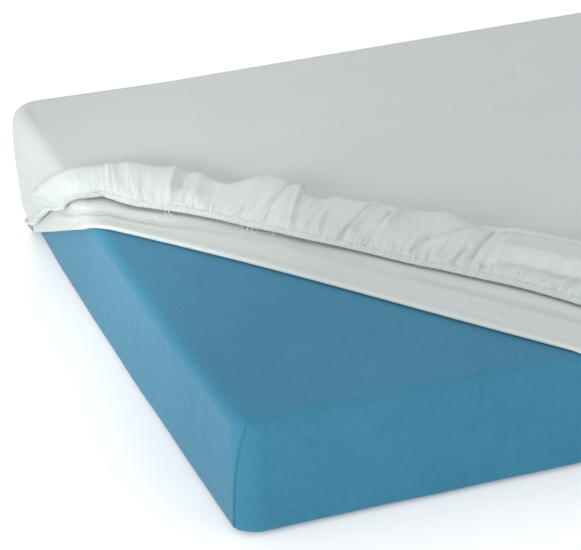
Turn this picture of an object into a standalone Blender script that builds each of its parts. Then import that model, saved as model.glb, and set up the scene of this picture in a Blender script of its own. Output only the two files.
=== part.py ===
"""A single bed's fitted sheet on its foam mattress, with one corner of the sheet drawn up and laid back.

Three solids: the mattress, the sheet, and the elastic that is overlocked to the sheet's edge. The sheet is one
cloth. It covers the top, goes down the sides and under the mattress, and at the bare corner it folds back over
itself along a slanting fold, and once more into a puffy roll that ends in the elastic.

All places are worked out in the corner's frame: the bare corner is at (0, 0), X runs along the long side, Y along
the short one. The last step puts the origin under the middle of the whole.
"""

import math

import bmesh
import bpy
from mathutils import Vector

# The mattress
LENGTH = 2.000
WIDTH = 0.900
HEIGHT = 0.155
PLAN_RADIUS = 0.032
TOP_RADIUS = 0.020
BOTTOM_RADIUS = 0.010
SIDE_SWELL = 0.006  # how far the middle of each side stands out past its ends

# The cloth
CLOTH = 0.0015
CLEARANCE = 0.002
LIFT = CLEARANCE + CLOTH / 2  # from the mattress to the middle of the cloth
BASE = CLOTH + CLEARANCE  # the mattress's underside, which the tucked cloth holds off the floor
TUCK = 0.090  # how far the cloth reaches under the mattress
TUCK_RADIUS = 0.060
TUCK_TAPER = 0.240  # the tuck grows to its full depth over this much of the edge
FOLD_RADIUS = 0.0025

# The slanting fold at the bare corner, where it crosses the edges of the mattress
FOLD_ON_END_TOP = 0.517
FOLD_ON_FRONT_TOP = 0.442
FOLD_ON_END_FOOT = 0.816

FOLD_RISES = (0.030, 0.270)  # from here down the fold, and over this length, the cloth turns to lie up the side
FOOT_OF_FOLD = 0.040  # the lowest stretch of the fold, where the cloth's sections lie closer together
FOLD_RISE = 0.75  # how far it turns, from along the side towards upright

# The elastic
ELASTIC_WIDTH = 0.008
ELASTIC_THICKNESS = 0.0026
SEAM_GAP = 0.0010
OFF_FLOOR = 0.0003  # the cloth carries the mattress, and the elastic stays clear of the floor

# The roll, section by section along the slanting fold. Place is the distance along the fold from the end's top
# edge, negative down the end. Reach is how far the roll goes back from the fold, crest is its height above the
# mattress, and hem_reach and hem_height are the same for the edge that carries the elastic. Curl is 1 where the
# cloth rolls right over, and 0 where it only lies back and its edge points away from the fold.
ROLL_COLUMNS = ("place", "reach", "crest", "hem_reach", "hem_height", "curl")
ROLL = (
    (-0.305, 0.010, 0.013, 0.004, 0.011, 0.00),
    (-0.260, 0.024, 0.020, 0.011, 0.015, 0.45),
    (-0.215, 0.046, 0.026, 0.022, 0.018, 0.90),
    (-0.150, 0.078, 0.030, 0.042, 0.019, 1.00),
    (-0.090, 0.106, 0.033, 0.056, 0.020, 1.00),
    (-0.030, 0.122, 0.036, 0.070, 0.021, 1.00),
    (0.020, 0.128, 0.039, 0.074, 0.020, 1.00),
    (0.060, 0.146, 0.040, 0.070, 0.018, 1.00),
    (0.110, 0.142, 0.037, 0.076, 0.018, 1.00),
    (0.160, 0.168, 0.041, 0.077, 0.018, 1.00),
    (0.200, 0.172, 0.042, 0.079, 0.018, 1.00),
    (0.235, 0.160, 0.034, 0.081, 0.018, 1.00),
    (0.285, 0.175, 0.036, 0.085, 0.018, 1.00),
    (0.345, 0.182, 0.036, 0.088, 0.018, 1.00),
    (0.400, 0.194, 0.038, 0.088, 0.018, 1.00),
    (0.435, 0.188, 0.033, 0.091, 0.018, 1.00),
    (0.490, 0.204, 0.037, 0.095, 0.018, 1.00),
    (0.550, 0.216, 0.036, 0.097, 0.018, 1.00),
    (0.600, 0.222, 0.038, 0.096, 0.018, 1.00),
    (0.660, 0.180, 0.036, 0.092, 0.018, 1.00),
    (0.730, 0.120, 0.032, 0.072, 0.019, 1.00),
    (0.800, 0.066, 0.029, 0.038, 0.019, 1.00),
    (0.855, 0.036, 0.025, 0.018, 0.018, 0.75),
    (0.895, 0.020, 0.019, 0.010, 0.014, 0.35),
    (0.935, 0.010, 0.013, 0.004, 0.011, 0.00),
)

# Lengths along a section of the mattress, from where its top edge starts to turn
TOP_TURN = TOP_RADIUS * math.pi / 2
SIDE = HEIGHT - TOP_RADIUS - BOTTOM_RADIUS
SIDE_END = TOP_TURN + SIDE
BOTTOM_TURN = BOTTOM_RADIUS * math.pi / 2
PANEL_INSET = 0.008  # the flat top panel ends this far before the turn

# How finely each stretch of a section is divided
TURN_STEPS = 4
SIDE_STEPS = 3
FOLD_STEPS = 4
BACK_STEPS = 2
ROUND_STEPS = 5
SLOPE_STEPS = 4
BOTTOM_STEPS = 6
TAIL_STEPS = FOLD_STEPS + BACK_STEPS + ROUND_STEPS + SLOPE_STEPS

HEM_TAIL = 0.008  # the cloth past the last turn, where the edge comes out from under the mattress

# Where the edge comes out from under the mattress and turns up, section by section: the distance from the foot of
# the slanting fold, the share of the mattress's bottom turn that the cloth still follows, and its tilt outward.
TURNING = (
    (0.050, 1.00, 0),
    (0.044, 0.75, 0),
    (0.038, 0.48, 0),
    (0.032, 0.22, 0),
    (0.024, 0.00, 25),
    (0.016, 0.00, 75),
    (0.008, 0.00, 130),
)
TURN_SHARE = 0.5  # of a turning section's bend, the part that has the bend's own steps

# Near each edge of the mattress the roll turns to run square to that edge, over this share of the fold's length.
FAN_SHARE = 0.25
FAN_PULL = 3.0

# The least length between two marks of the first layer: the panel's rim, the turn's start, its end, and the fold.
LEAST_LENGTHS = (0.005, 0.006, 0.006)
TOP_SECTIONS = 20  # across the top, over the roll


def spread(low, high, steps):
    """The values after low, in even steps, up to high."""
    return [low + (high - low) * (i + 1) / steps for i in range(steps)]


def blend(low, high, share):
    return low + (high - low) * share


def ease(share):
    share = min(max(share, 0.0), 1.0)
    return share * share * (3 - 2 * share)


def section(down, height):
    """A point `height` off the mattress: outward from its side, up from its base, and the normal there.

    `down` is the length along the mattress's section from the start of the top turn, negative on the top.
    """
    if down <= 0:
        return -TOP_RADIUS + down, HEIGHT + height, (0.0, 1.0)
    if down <= TOP_TURN:
        angle = down / TOP_RADIUS
        radius = TOP_RADIUS + height
        normal = (math.sin(angle), math.cos(angle))
        return -TOP_RADIUS + radius * normal[0], HEIGHT - TOP_RADIUS + radius * normal[1], normal
    if down <= SIDE_END:
        return height, HEIGHT - TOP_RADIUS - (down - TOP_TURN), (1.0, 0.0)
    angle = min((down - SIDE_END) / BOTTOM_RADIUS, math.pi / 2)
    radius = BOTTOM_RADIUS + height
    normal = (math.cos(angle), -math.sin(angle))
    return -BOTTOM_RADIUS + radius * normal[0], BOTTOM_RADIUS + radius * normal[1], normal


def corner_arc(centre_x, centre_y, start_angle, steps, radius=PLAN_RADIUS):
    """Outline points on a quarter turn, clockwise seen from above, each with its outward normal."""
    points = []
    for i in range(steps + 1):
        angle = start_angle - i * math.pi / 2 / steps
        normal = Vector((math.cos(angle), math.sin(angle)))
        points.append((Vector((centre_x, centre_y)) + normal * radius, normal))
    return points


def straight(start, end, normal, steps):
    """Outline points strictly between two ends of a side."""
    start = Vector(start)
    end = Vector(end)
    return [(start.lerp(end, (i + 1) / steps), Vector(normal)) for i in range(steps - 1)]


def mesh_object(name, points, faces, material):
    mesh = bpy.data.meshes.new(name)
    mesh.from_pydata([tuple(p) for p in points], [], faces)
    mesh.validate()
    shape = bpy.data.objects.new(name, mesh)
    bpy.context.collection.objects.link(shape)
    mesh.materials.append(material)
    bm = bmesh.new()
    bm.from_mesh(mesh)
    bmesh.ops.recalc_face_normals(bm, faces=bm.faces)
    bm.to_mesh(mesh)
    bm.free()
    mesh.shade_smooth()
    mesh.set_sharp_from_angle(angle=math.radians(50))
    return shape


def cloth_material(name, colour, roughness):
    material = bpy.data.materials.new(name)
    material.use_nodes = True
    shader = material.node_tree.nodes["Principled BSDF"]
    shader.inputs["Base Color"].default_value = (*colour, 1.0)
    shader.inputs["Roughness"].default_value = roughness
    shader.inputs["Metallic"].default_value = 0.0
    return material


def swell(point):
    """The sides of the foam stand out a little between their ends, and the cloth with them."""
    x = point[0] - LENGTH / 2
    y = point[1] - WIDTH / 2
    across = max(0.0, 1 - (2 * y / WIDTH) ** 2)
    along = max(0.0, 1 - (2 * x / LENGTH) ** 2)
    return Vector(
        (
            x * (1 + SIDE_SWELL / (LENGTH / 2) * across),
            y * (1 + SIDE_SWELL / (WIDTH / 2) * along),
            point[2],
        )
    )


def rings_and_caps(rings):
    """Faces of a closed shape: quads between one ring and the next, and a cap on each end."""
    count = len(rings[0])
    faces = [tuple(range(count)), tuple(range((len(rings) - 1) * count, len(rings) * count))]
    for r in range(len(rings) - 1):
        for i in range(count):
            j = (i + 1) % count
            faces.append((r * count + i, r * count + j, (r + 1) * count + j, (r + 1) * count + i))
    return faces


# ---------------------------------------------------------------------------------------------- the mattress


def make_mattress():
    """A foam block in its cover: rounded corners in plan, soft edges above and below."""
    arc_steps = 7
    far_x = LENGTH - PLAN_RADIUS
    far_y = WIDTH - PLAN_RADIUS
    outline = corner_arc(PLAN_RADIUS, far_y, math.pi, arc_steps)
    outline += straight((PLAN_RADIUS, WIDTH), (far_x, WIDTH), (0, 1), 9)
    outline += corner_arc(far_x, far_y, math.pi / 2, arc_steps)
    outline += straight((LENGTH, far_y), (LENGTH, PLAN_RADIUS), (1, 0), 5)
    outline += corner_arc(far_x, PLAN_RADIUS, 0.0, arc_steps)
    outline += straight((far_x, 0), (PLAN_RADIUS, 0), (0, -1), 9)
    outline += corner_arc(PLAN_RADIUS, PLAN_RADIUS, -math.pi / 2, arc_steps)
    outline += straight((0, PLAN_RADIUS), (0, far_y), (-1, 0), 5)

    downs = [0.0] + spread(0.0, TOP_TURN, 5) + [SIDE_END]
    downs += spread(SIDE_END, SIDE_END + BOTTOM_RADIUS * math.pi / 2, 4)
    rings = []
    for down in downs:
        out, up, _ = section(down, 0.0)
        rings.append([(*(place + normal * out), BASE + up) for place, normal in outline])
    points = [swell(p) for ring in rings for p in ring]
    material = cloth_material("mattress_cover", (0.066, 0.225, 0.363), 0.85)
    return mesh_object("mattress", points, rings_and_caps(rings), material)


# ---------------------------------------------------------------------------------------------- the sheet


def fold_line(kind, value):
    """A point of the slanting fold, in the corner's frame, with the outward normal of the mattress there.

    The fold lies in one slanting plane. On the end and on the front, `value` is the length down the section, and
    on the top it is X.
    """
    end_slope = (FOLD_ON_END_FOOT - FOLD_ON_END_TOP) / HEIGHT
    ratio = FOLD_ON_FRONT_TOP / FOLD_ON_END_TOP
    if kind == "top":
        return Vector((value, FOLD_ON_END_TOP - value / ratio, HEIGHT)), Vector((0, 0, 1))
    out, up, normal = section(value, 0.0)
    if kind == "end":
        along = FOLD_ON_END_TOP + out / ratio + (HEIGHT - up) * end_slope
        return Vector((-out, along, up)), Vector((-normal[0], 0, normal[1]))
    along = FOLD_ON_FRONT_TOP + out * ratio + (HEIGHT - up) * end_slope * ratio
    return Vector((along, -out, up)), Vector((0, -normal[0], normal[1]))


def roll_at(place):
    """The roll's sizes at a place along the slanting fold, read between the rows of its table."""
    if place <= ROLL[0][0]:
        return dict(zip(ROLL_COLUMNS, ROLL[0]))
    for low, high in zip(ROLL, ROLL[1:]):
        if place <= high[0]:
            share = ease((place - low[0]) / (high[0] - low[0]))
            return {name: blend(a, b, share) for name, a, b in zip(ROLL_COLUMNS, low, high)}
    return dict(zip(ROLL_COLUMNS, ROLL[-1]))


def roll_section(roll):
    """The cloth past the slanting fold: back over itself, round the roll and forward to its edge.

    Each point is a distance behind the fold and a height above the mattress.
    """
    flat = []
    for angle in spread(0.0, math.pi, FOLD_STEPS):
        flat.append((-FOLD_RADIUS * math.sin(angle), LIFT + FOLD_RADIUS * (1 - math.cos(angle))))
    second = LIFT + 2 * FOLD_RADIUS
    radius = (roll["crest"] - second) / 2
    turn = roll["reach"] - radius
    for back in spread(0.0, turn, BACK_STEPS):
        flat.append((back, second))
    points = []
    for angle in spread(-math.pi / 2, math.pi / 2, ROUND_STEPS):
        points.append((turn + radius * math.cos(angle), second + radius * (1 + math.sin(angle))))
    fall = roll["crest"] - roll["hem_height"]
    for angle in spread(0.0, math.pi / 2, SLOPE_STEPS):
        forward = blend(turn, roll["hem_reach"], math.sin(angle))
        points.append((forward, roll["hem_height"] + fall * math.cos(angle)))
    return flat + uncurled(flat[-1], points, roll["curl"])


def uncurled(start, points, curl):
    """The same length of cloth from `start` on, with every turn that it makes brought down to a share `curl`."""
    here = start
    last = start
    heading = 0.0
    placed = []
    for point in points:
        step = (point[0] - last[0], point[1] - last[1])
        turned = math.atan2(step[1], step[0]) % (2 * math.pi)
        heading = curl * turned
        length = math.hypot(*step)
        here = (here[0] + length * math.cos(heading), here[1] + length * math.sin(heading))
        placed.append(here)
        last = point
    return placed


def first_layer_downs(end):
    """Lengths down the section for the first layer's points, from the panel's rim to `end`."""
    marks = [-PANEL_INSET, 0.0, TOP_TURN, end]
    for i in (2, 1, 0):
        marks[i] = min(marks[i], marks[i + 1] - LEAST_LENGTHS[i])
    downs = [marks[0], marks[1]]
    downs += spread(marks[1], marks[2], TURN_STEPS)
    downs += spread(marks[2], marks[3], SIDE_STEPS)
    return downs


def tuck_point(place, normal):
    """Where the cloth's edge lies under the mattress at its full depth, for a point of the outline."""
    inset = TUCK + TUCK_RADIUS
    centre = Vector(
        (
            min(max(place.x, inset), LENGTH - inset),
            min(max(place.y, inset), WIDTH - inset),
        )
    )
    return centre + normal * TUCK_RADIUS


def covered_station(place, normal, edge):
    """One section of the sheet where it covers the mattress: over the side, round the foot and under."""
    points = []
    bend = spread(SIDE_END, SIDE_END + BOTTOM_TURN, BOTTOM_STEPS)
    for down in first_layer_downs(SIDE_END) + bend:
        out, up, _ = section(down, LIFT)
        points.append(Vector((*(place + normal * out), BASE + up)))
    foot = place - normal * BOTTOM_RADIUS
    for step in spread(0.0, 1.0, TAIL_STEPS - BOTTOM_STEPS):
        points.append(Vector((*foot.lerp(edge, step), CLOTH / 2)))
    return points


def turning_station(kind, distance, turn, tilt):
    """A section where the edge comes out from under the mattress: a short tail, round its foot or tilted out."""
    place, normal = fold_line(kind, SIDE_END)
    place = place + Vector((0, distance, 0) if kind == "end" else (distance, 0, 0))
    downs = first_layer_downs(SIDE_END)
    if turn:
        middle = SIDE_END + turn * TURN_SHARE * BOTTOM_TURN
        downs += spread(SIDE_END, middle, BOTTOM_STEPS)
        downs += spread(middle, SIDE_END + turn * BOTTOM_TURN, TAIL_STEPS - BOTTOM_STEPS)
    points = []
    for down in downs:
        out, up, _ = section(down, LIFT)
        points.append(Vector((place.x, place.y, BASE + up)) + normal * out)
    if not turn:
        start = points[-1]
        for angle in spread(0.0, math.radians(tilt), FOLD_STEPS):
            bend = Vector((0, 0, -math.sin(angle))) + normal * (1 - math.cos(angle))
            points.append(start + bend * FOLD_RADIUS)
        last = points[-1]
        way = Vector((0, 0, -math.cos(angle))) + normal * math.sin(angle)
        points += [last + way * length for length in spread(0.0, HEM_TAIL, TAIL_STEPS - FOLD_STEPS)]
    return points


def folded_station(kind, value):
    """One section of the sheet across the slanting fold and the roll behind it."""
    place, normal = fold_line(kind, value)
    fold_length = math.hypot(FOLD_ON_END_TOP, FOLD_ON_FRONT_TOP)
    square = Vector((FOLD_ON_END_TOP, FOLD_ON_FRONT_TOP, 0)) / fold_length
    if kind == "top":
        along = value / FOLD_ON_FRONT_TOP
        roll = roll_at(along * fold_length)
        near_end = (1 - ease(along / FAN_SHARE)) * FAN_PULL
        near_front = (1 - ease((1 - along) / FAN_SHARE)) * FAN_PULL
        behind = (square + Vector((near_front, near_end, 0))).normalized()
        ahead = (-square - Vector((near_end, near_front, 0))).normalized()
        downs = first_layer_downs(0.0)
        points = [place + ahead * down + normal * (LIFT + BASE) for down in downs]
    else:
        edge, _ = fold_line(kind, TOP_TURN / 2)
        away = (place - edge).length * (1 if value > TOP_TURN / 2 else -1)
        roll = roll_at(-away if kind == "end" else fold_length + away)
        upright = FOLD_RISE * ease((away - FOLD_RISES[0]) / FOLD_RISES[1])
        behind = Vector((0, 1, 0)) if kind == "end" else Vector((1, 0, 0))
        behind = behind.lerp(Vector((0, 0, 1)), upright).normalized()
        side = Vector((-1, 0, 0)) if kind == "end" else Vector((0, -1, 0))
        points = []
        for down in first_layer_downs(value):
            out, up, _ = section(down, LIFT)
            flat = Vector((0, place.y, 0)) if kind == "end" else Vector((place.x, 0, 0))
            points.append(flat + side * out + Vector((0, 0, BASE + up)))
    base = place + Vector((0, 0, BASE))
    points += [base + behind * back + normal * height for back, height in roll_section(roll)]
    return points


def sheet_stations():
    """Every section of the sheet, once round its edge, starting at the foot of the end."""
    arc_steps = 6
    far_x = LENGTH - PLAN_RADIUS
    far_y = WIDTH - PLAN_RADIUS
    end_foot = fold_line("end", SIDE_END)[0].y
    front_foot = fold_line("front", SIDE_END)[0].x
    last_covered = front_foot + 2 * TURNING[0][0]

    # Round the first corner the edge runs straight on from the fold's foot into the line of the back's tuck.
    corner = corner_arc(PLAN_RADIUS, far_y, math.pi, arc_steps)
    tuck_start = Vector((BOTTOM_RADIUS + HEM_TAIL, end_foot + TURNING[0][0] + ELASTIC_WIDTH))
    tuck_full = Vector((TUCK + TUCK_RADIUS, WIDTH - TUCK))
    stations = []
    for i, (place, normal) in enumerate(corner):
        stations.append(covered_station(place, normal, tuck_start.lerp(tuck_full, i / arc_steps)))

    outline = straight((PLAN_RADIUS, WIDTH), (far_x, WIDTH), (0, 1), 6)
    outline += corner_arc(far_x, far_y, math.pi / 2, arc_steps)
    outline += straight((LENGTH, far_y), (LENGTH, PLAN_RADIUS), (1, 0), 4)
    outline += corner_arc(far_x, PLAN_RADIUS, 0.0, arc_steps)
    outline += straight((far_x, 0), (last_covered, 0), (0, -1), 5)
    outline.append((Vector((last_covered, 0)), Vector((0, -1))))
    for place, normal in outline:
        share = ease((place - Vector((front_foot, 0))).length / TUCK_TAPER)
        edge = place.lerp(tuck_point(place, normal), share)
        edge.y = max(edge.y, BOTTOM_RADIUS + HEM_TAIL)
        stations.append(covered_station(place, normal, edge))
    for row in TURNING:
        stations.append(turning_station("front", *row))
    foot = SIDE_END - FOOT_OF_FOLD
    downs = spread(0.0, TOP_TURN, 4) + spread(TOP_TURN, foot, 5) + spread(foot, SIDE_END, 4)
    for down in reversed(downs):
        stations.append(folded_station("front", down))
    last_x = FOLD_ON_FRONT_TOP * (1 - TOP_RADIUS / FOLD_ON_END_TOP)
    for x in reversed([TOP_RADIUS] + spread(TOP_RADIUS, last_x, TOP_SECTIONS - 1)):
        stations.append(folded_station("top", x))
    for down in downs:
        stations.append(folded_station("end", down))
    for row in reversed(TURNING):
        stations.append(turning_station("end", *row))
    return stations


def make_sheet(stations):
    """The flat panel and the stations' strips, given the cloth's thickness."""
    width = len(stations[0])
    count = len(stations)
    points = [swell(p) for station in stations for p in station]
    faces = [tuple(i * width for i in range(count))]
    for i in range(count):
        j = (i + 1) % count
        for k in range(width - 1):
            faces.append((i * width + k, i * width + k + 1, j * width + k + 1, j * width + k))
    material = cloth_material("sheet_cloth", (0.66, 0.69, 0.68), 0.80)
    sheet = mesh_object("sheet", points, faces, material)
    thickness = sheet.modifiers.new("thickness", "SOLIDIFY")
    thickness.thickness = CLOTH
    thickness.offset = 0.0
    thickness.use_rim = True
    return sheet


def make_elastic(stations):
    """A flat band along the cloth's edge, in line with it, with a hair's gap between them."""
    rings = []
    for i, station in enumerate(stations):
        edge = station[-1]
        way = (edge - station[-2]).normalized()
        ahead = stations[(i + 1) % len(stations)][-1]
        behind = stations[i - 1][-1]
        along = (ahead - behind).normalized()
        way = (way - along * way.dot(along)).normalized()
        near = edge + way * SEAM_GAP
        far = near + way * ELASTIC_WIDTH
        half = ELASTIC_THICKNESS / 2
        near.z = max(near.z, half + OFF_FLOOR)
        far.z = max(far.z, half + OFF_FLOOR)
        across = along.cross(far - near).normalized()
        rings.append([near - across * half, far - across * half, far + across * half, near + across * half])
    points = [swell(p) for ring in rings for p in ring]
    faces = []
    for i in range(len(rings)):
        j = (i + 1) % len(rings)
        for k in range(4):
            m = (k + 1) % 4
            faces.append((i * 4 + k, i * 4 + m, j * 4 + m, j * 4 + k))
    material = cloth_material("elastic_edge", (0.62, 0.65, 0.64), 0.75)
    return mesh_object("elastic_edge", points, faces, material)


def centre(shapes):
    """Puts the origin under the middle of the whole object's box."""
    depsgraph = bpy.context.evaluated_depsgraph_get()
    corners = []
    for shape in shapes:
        solid = shape.evaluated_get(depsgraph)
        corners += [solid.matrix_world @ Vector(c) for c in solid.bound_box]
    middle = Vector(
        (
            (min(c.x for c in corners) + max(c.x for c in corners)) / 2,
            (min(c.y for c in corners) + max(c.y for c in corners)) / 2,
            min(c.z for c in corners),
        )
    )
    for shape in shapes:
        for vertex in shape.data.vertices:
            vertex.co -= middle


def main():
    for old in list(bpy.data.objects):
        bpy.data.objects.remove(old, do_unlink=True)
    stations = sheet_stations()
    centre([make_mattress(), make_sheet(stations), make_elastic(stations)])


main()
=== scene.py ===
# %% [markdown]
# # A fitted sheet on a foam mattress
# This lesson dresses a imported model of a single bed's mattress and its fitted sheet. One corner of the sheet has
# been pulled off and laid back over the bed, so the blue mattress cover shows, and the sheet's gathered elastic
# edge lies on top in a long puffy roll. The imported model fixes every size. Here each solid gets its real surface:
# soft folds, gathers, an overlocked edge, woven cotton and a napped cover.

import math

import bmesh
import bpy
import numpy as np
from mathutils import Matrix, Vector


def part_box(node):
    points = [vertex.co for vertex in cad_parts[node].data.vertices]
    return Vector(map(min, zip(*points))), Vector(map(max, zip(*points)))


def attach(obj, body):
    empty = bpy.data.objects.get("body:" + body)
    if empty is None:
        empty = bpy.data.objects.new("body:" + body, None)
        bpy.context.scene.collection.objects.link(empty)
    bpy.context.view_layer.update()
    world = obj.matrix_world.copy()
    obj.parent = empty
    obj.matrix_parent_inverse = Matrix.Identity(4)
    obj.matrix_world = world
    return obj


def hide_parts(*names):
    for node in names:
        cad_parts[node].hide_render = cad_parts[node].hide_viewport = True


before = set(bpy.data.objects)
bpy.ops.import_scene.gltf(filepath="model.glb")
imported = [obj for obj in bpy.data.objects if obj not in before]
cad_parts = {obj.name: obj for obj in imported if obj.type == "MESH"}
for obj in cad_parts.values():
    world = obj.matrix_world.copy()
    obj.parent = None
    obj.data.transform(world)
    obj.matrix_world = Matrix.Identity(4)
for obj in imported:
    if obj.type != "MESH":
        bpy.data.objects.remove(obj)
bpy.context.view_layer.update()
mattress_low, mattress_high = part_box("mattress")
print("frame loaded; mattress from", [round(v, 4) for v in mattress_low], "to", [round(v, 4) for v in mattress_high])

# %% [markdown]
# ## The sizes that everything shares
# A maker would cut the cover and the sheet from the mattress's own sizes, so they are named once. All work is done
# in the corner's frame: the bare corner is at zero, X runs along the long side, Y along the end, and Z is the
# height over the mattress's underside. One function at the end of this step takes a point to its place in the model.

# %% Sizes of the mattress and the cloth
LENGTH = 2.000
WIDTH = 0.900
HEIGHT = 0.155
PLAN_RADIUS = 0.032
TOP_RADIUS = 0.014
BOTTOM_RADIUS = 0.010
SIDE_SWELL = 0.006
CLOTH = 0.0010
LIFT = 0.0024  # from the mattress to the middle of the cloth
BASE = mattress_low.z
TUCK = 0.090
TUCK_RADIUS = 0.060  # the turn of the tucked edge at each corner
TUCK_TAPER = 0.240  # the tuck reaches its full depth this far from the fold's foot
FOLD_RADIUS = 0.0024  # of the taut fold
PANEL_INSET = 0.008  # from the start of the top edge's turn in to the flat panel's rim
HEM_TAIL = 0.004  # the cloth left past the fold where its edge goes under
ELASTIC_WIDTH = 0.0075
ELASTIC_THICKNESS = 0.0022

FAR_X = LENGTH - PLAN_RADIUS  # where the far corners' turns begin
FAR_Y = WIDTH - PLAN_RADIUS
TOP_TURN = TOP_RADIUS * math.pi / 2
SIDE_END = TOP_TURN + HEIGHT - TOP_RADIUS - BOTTOM_RADIUS
BOTTOM_TURN = BOTTOM_RADIUS * math.pi / 2

# The corner's frame begins where the swelled side of the mattress would be without its swell.
ORIGIN = np.array([mattress_low.x + SIDE_SWELL, mattress_low.y + SIDE_SWELL, 0.0])
print("corner's frame begins at", ORIGIN.round(4))


# %% Small helpers for lengths, curves and places
def spread(low, high, steps, power=1.0):
    """The values after low up to high; a power over 1 puts them closer together near low."""
    return [low + (high - low) * ((i + 1) / steps) ** power for i in range(steps)]


def blend(low, high, share):
    return low + (high - low) * share


def ease(share):
    share = np.clip(share, 0.0, 1.0)
    return share * share * (3 - 2 * share)


def unit(vector):
    vector = np.asarray(vector, dtype=float)
    return vector / np.linalg.norm(vector, axis=-1, keepdims=True)


def lengths_along(points):
    """The distance from the first point of each line to every one of its points, along the line."""
    steps = np.linalg.norm(np.diff(points, axis=-2), axis=-1)
    return np.concatenate([np.zeros((*steps.shape[:-1], 1)), np.cumsum(steps, axis=-1)], axis=-1)


def quads(rows, columns, rows_close, columns_close, start=0):
    """Faces that join a grid of points, row by row; either way round may close on itself."""
    faces = []
    for i in range(rows if rows_close else rows - 1):
        low, high = start + i * columns, start + (i + 1) % rows * columns
        for k in range(columns if columns_close else columns - 1):
            m = (k + 1) % columns
            faces.append((low + k, low + m, high + m, high + k))
    return faces


def placed(points):
    """Points of the corner's frame, in the model: the sides stand out a little between their ends."""
    points = np.array(points, dtype=float)
    x = points[..., 0] - LENGTH / 2
    y = points[..., 1] - WIDTH / 2
    across = np.maximum(0.0, 1 - (2 * y / WIDTH) ** 2)
    along = np.maximum(0.0, 1 - (2 * x / LENGTH) ** 2)
    points[..., 0] += x * SIDE_SWELL / (LENGTH / 2) * across
    points[..., 1] += y * SIDE_SWELL / (WIDTH / 2) * along
    return points + ORIGIN


def section(down, height):
    """A point `height` off the mattress: outward from its side, up from its base, and the normal there."""
    if down <= 0:
        return -TOP_RADIUS + down, HEIGHT + height, (0.0, 1.0)
    if down <= TOP_TURN:
        angle = down / TOP_RADIUS
        radius = TOP_RADIUS + height
        normal = (math.sin(angle), math.cos(angle))
        return -TOP_RADIUS + radius * normal[0], HEIGHT - TOP_RADIUS + radius * normal[1], normal
    if down <= SIDE_END:
        return height, HEIGHT - TOP_RADIUS - (down - TOP_TURN), (1.0, 0.0)
    angle = min((down - SIDE_END) / BOTTOM_RADIUS, math.pi / 2)
    radius = BOTTOM_RADIUS + height
    normal = (math.cos(angle), -math.sin(angle))
    return -BOTTOM_RADIUS + radius * normal[0], BOTTOM_RADIUS + radius * normal[1], normal


def corner_arc(centre_x, centre_y, start_angle, steps):
    """Outline points on a quarter turn, clockwise seen from above, each with its outward normal."""
    points = []
    for i in range(steps + 1):
        angle = start_angle - i * math.pi / 2 / steps
        normal = np.array([math.cos(angle), math.sin(angle)])
        points.append((np.array([centre_x, centre_y]) + normal * PLAN_RADIUS, normal))
    return points


def straight(start, end, normal, steps):
    """Outline points strictly between two ends of a side."""
    start = np.array(start, dtype=float)
    end = np.array(end, dtype=float)
    normal = np.array(normal, dtype=float)
    return [(blend(start, end, (i + 1) / steps), normal) for i in range(steps - 1)]


def mesh_object(name, points, faces, **maps):
    """A smooth mesh object; each map holds one pair for each point and becomes a UV map, in metres."""
    mesh = bpy.data.meshes.new(name)
    mesh.from_pydata([tuple(p) for p in np.reshape(points, (-1, 3))], [], faces)
    corners = np.empty(len(mesh.loops), dtype=np.int32)
    mesh.loops.foreach_get("vertex_index", corners)
    for key, pairs in maps.items():
        layer = mesh.uv_layers.new(name=key)
        layer.data.foreach_set("uv", np.reshape(pairs, (-1, 2))[corners].astype(np.float32).ravel())
    mesh.shade_smooth()
    shape = bpy.data.objects.new(name, mesh)
    bpy.context.collection.objects.link(shape)
    return shape


def faces_outward(shape):
    bm = bmesh.new()
    bm.from_mesh(shape.data)
    bmesh.ops.recalc_face_normals(bm, faces=bm.faces)
    bm.to_mesh(shape.data)
    bm.free()


print("a section runs", round(SIDE_END + BOTTOM_TURN, 4), "m from the top turn to the underside")

# %% [markdown]
# ## Camera and light
# The bed is seen from its bare corner, a little from the left and from well above, through a long lens, so its
# edges stay almost parallel. The stage is a plain pale floor under a bright even sky. One large soft lamp stands
# low at the left: cloth shows its folds best when light rakes across them. A small weak lamp with a narrow beam
# picks out the roll's left end.

# %% Camera
CAMERA_PLACE = (-0.903, -2.479, 1.8365)
CAMERA_YAW = math.radians(21.31)
CAMERA_PITCH = math.radians(29.29)
CAMERA_LENS = 170.15
SENSOR_WIDTH = 36.0
VIEW_LIMIT = 60.0

camera_data = bpy.data.cameras.new("camera")
camera_data.lens = CAMERA_LENS
camera_data.sensor_width = SENSOR_WIDTH
camera_data.clip_end = VIEW_LIMIT
camera = bpy.data.objects.new("camera", camera_data)
bpy.context.collection.objects.link(camera)
camera.location = Vector(CAMERA_PLACE) + Vector(ORIGIN)
camera.rotation_euler = (math.pi / 2 - CAMERA_PITCH, 0.0, -CAMERA_YAW)
bpy.context.scene.camera = camera
print("camera at", [round(v, 3) for v in camera.location])

# %% Floor, sky and lamps
FLOOR_SIZE = 14.0
SKY = 0.835
# Each lamp: its name, place, target, size, power in watts and colour
KEY_LAMP = ("key_lamp", (-3.7, -1.5, 1.2), (-0.6, -0.1, 0.1), (1.6, 1.0), 47.5, (1.0, 0.965, 0.905))
END_LAMP = ("end_lamp", (-1.62, -0.80, 0.62), (-0.95, 0.08, 0.17), (0.2, 0.2), 0.15, (1.0, 0.985, 0.93))
END_SPREAD = 26.0  # degrees

scene = bpy.context.scene
scene.view_settings.view_transform = "Standard"
world = bpy.data.worlds.new("studio")
scene.world = world
world.use_nodes = True
background = world.node_tree.nodes["Background"]
background.inputs["Color"].default_value = (1.0, 1.0, 1.0, 1.0)
background.inputs["Strength"].default_value = SKY


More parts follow.
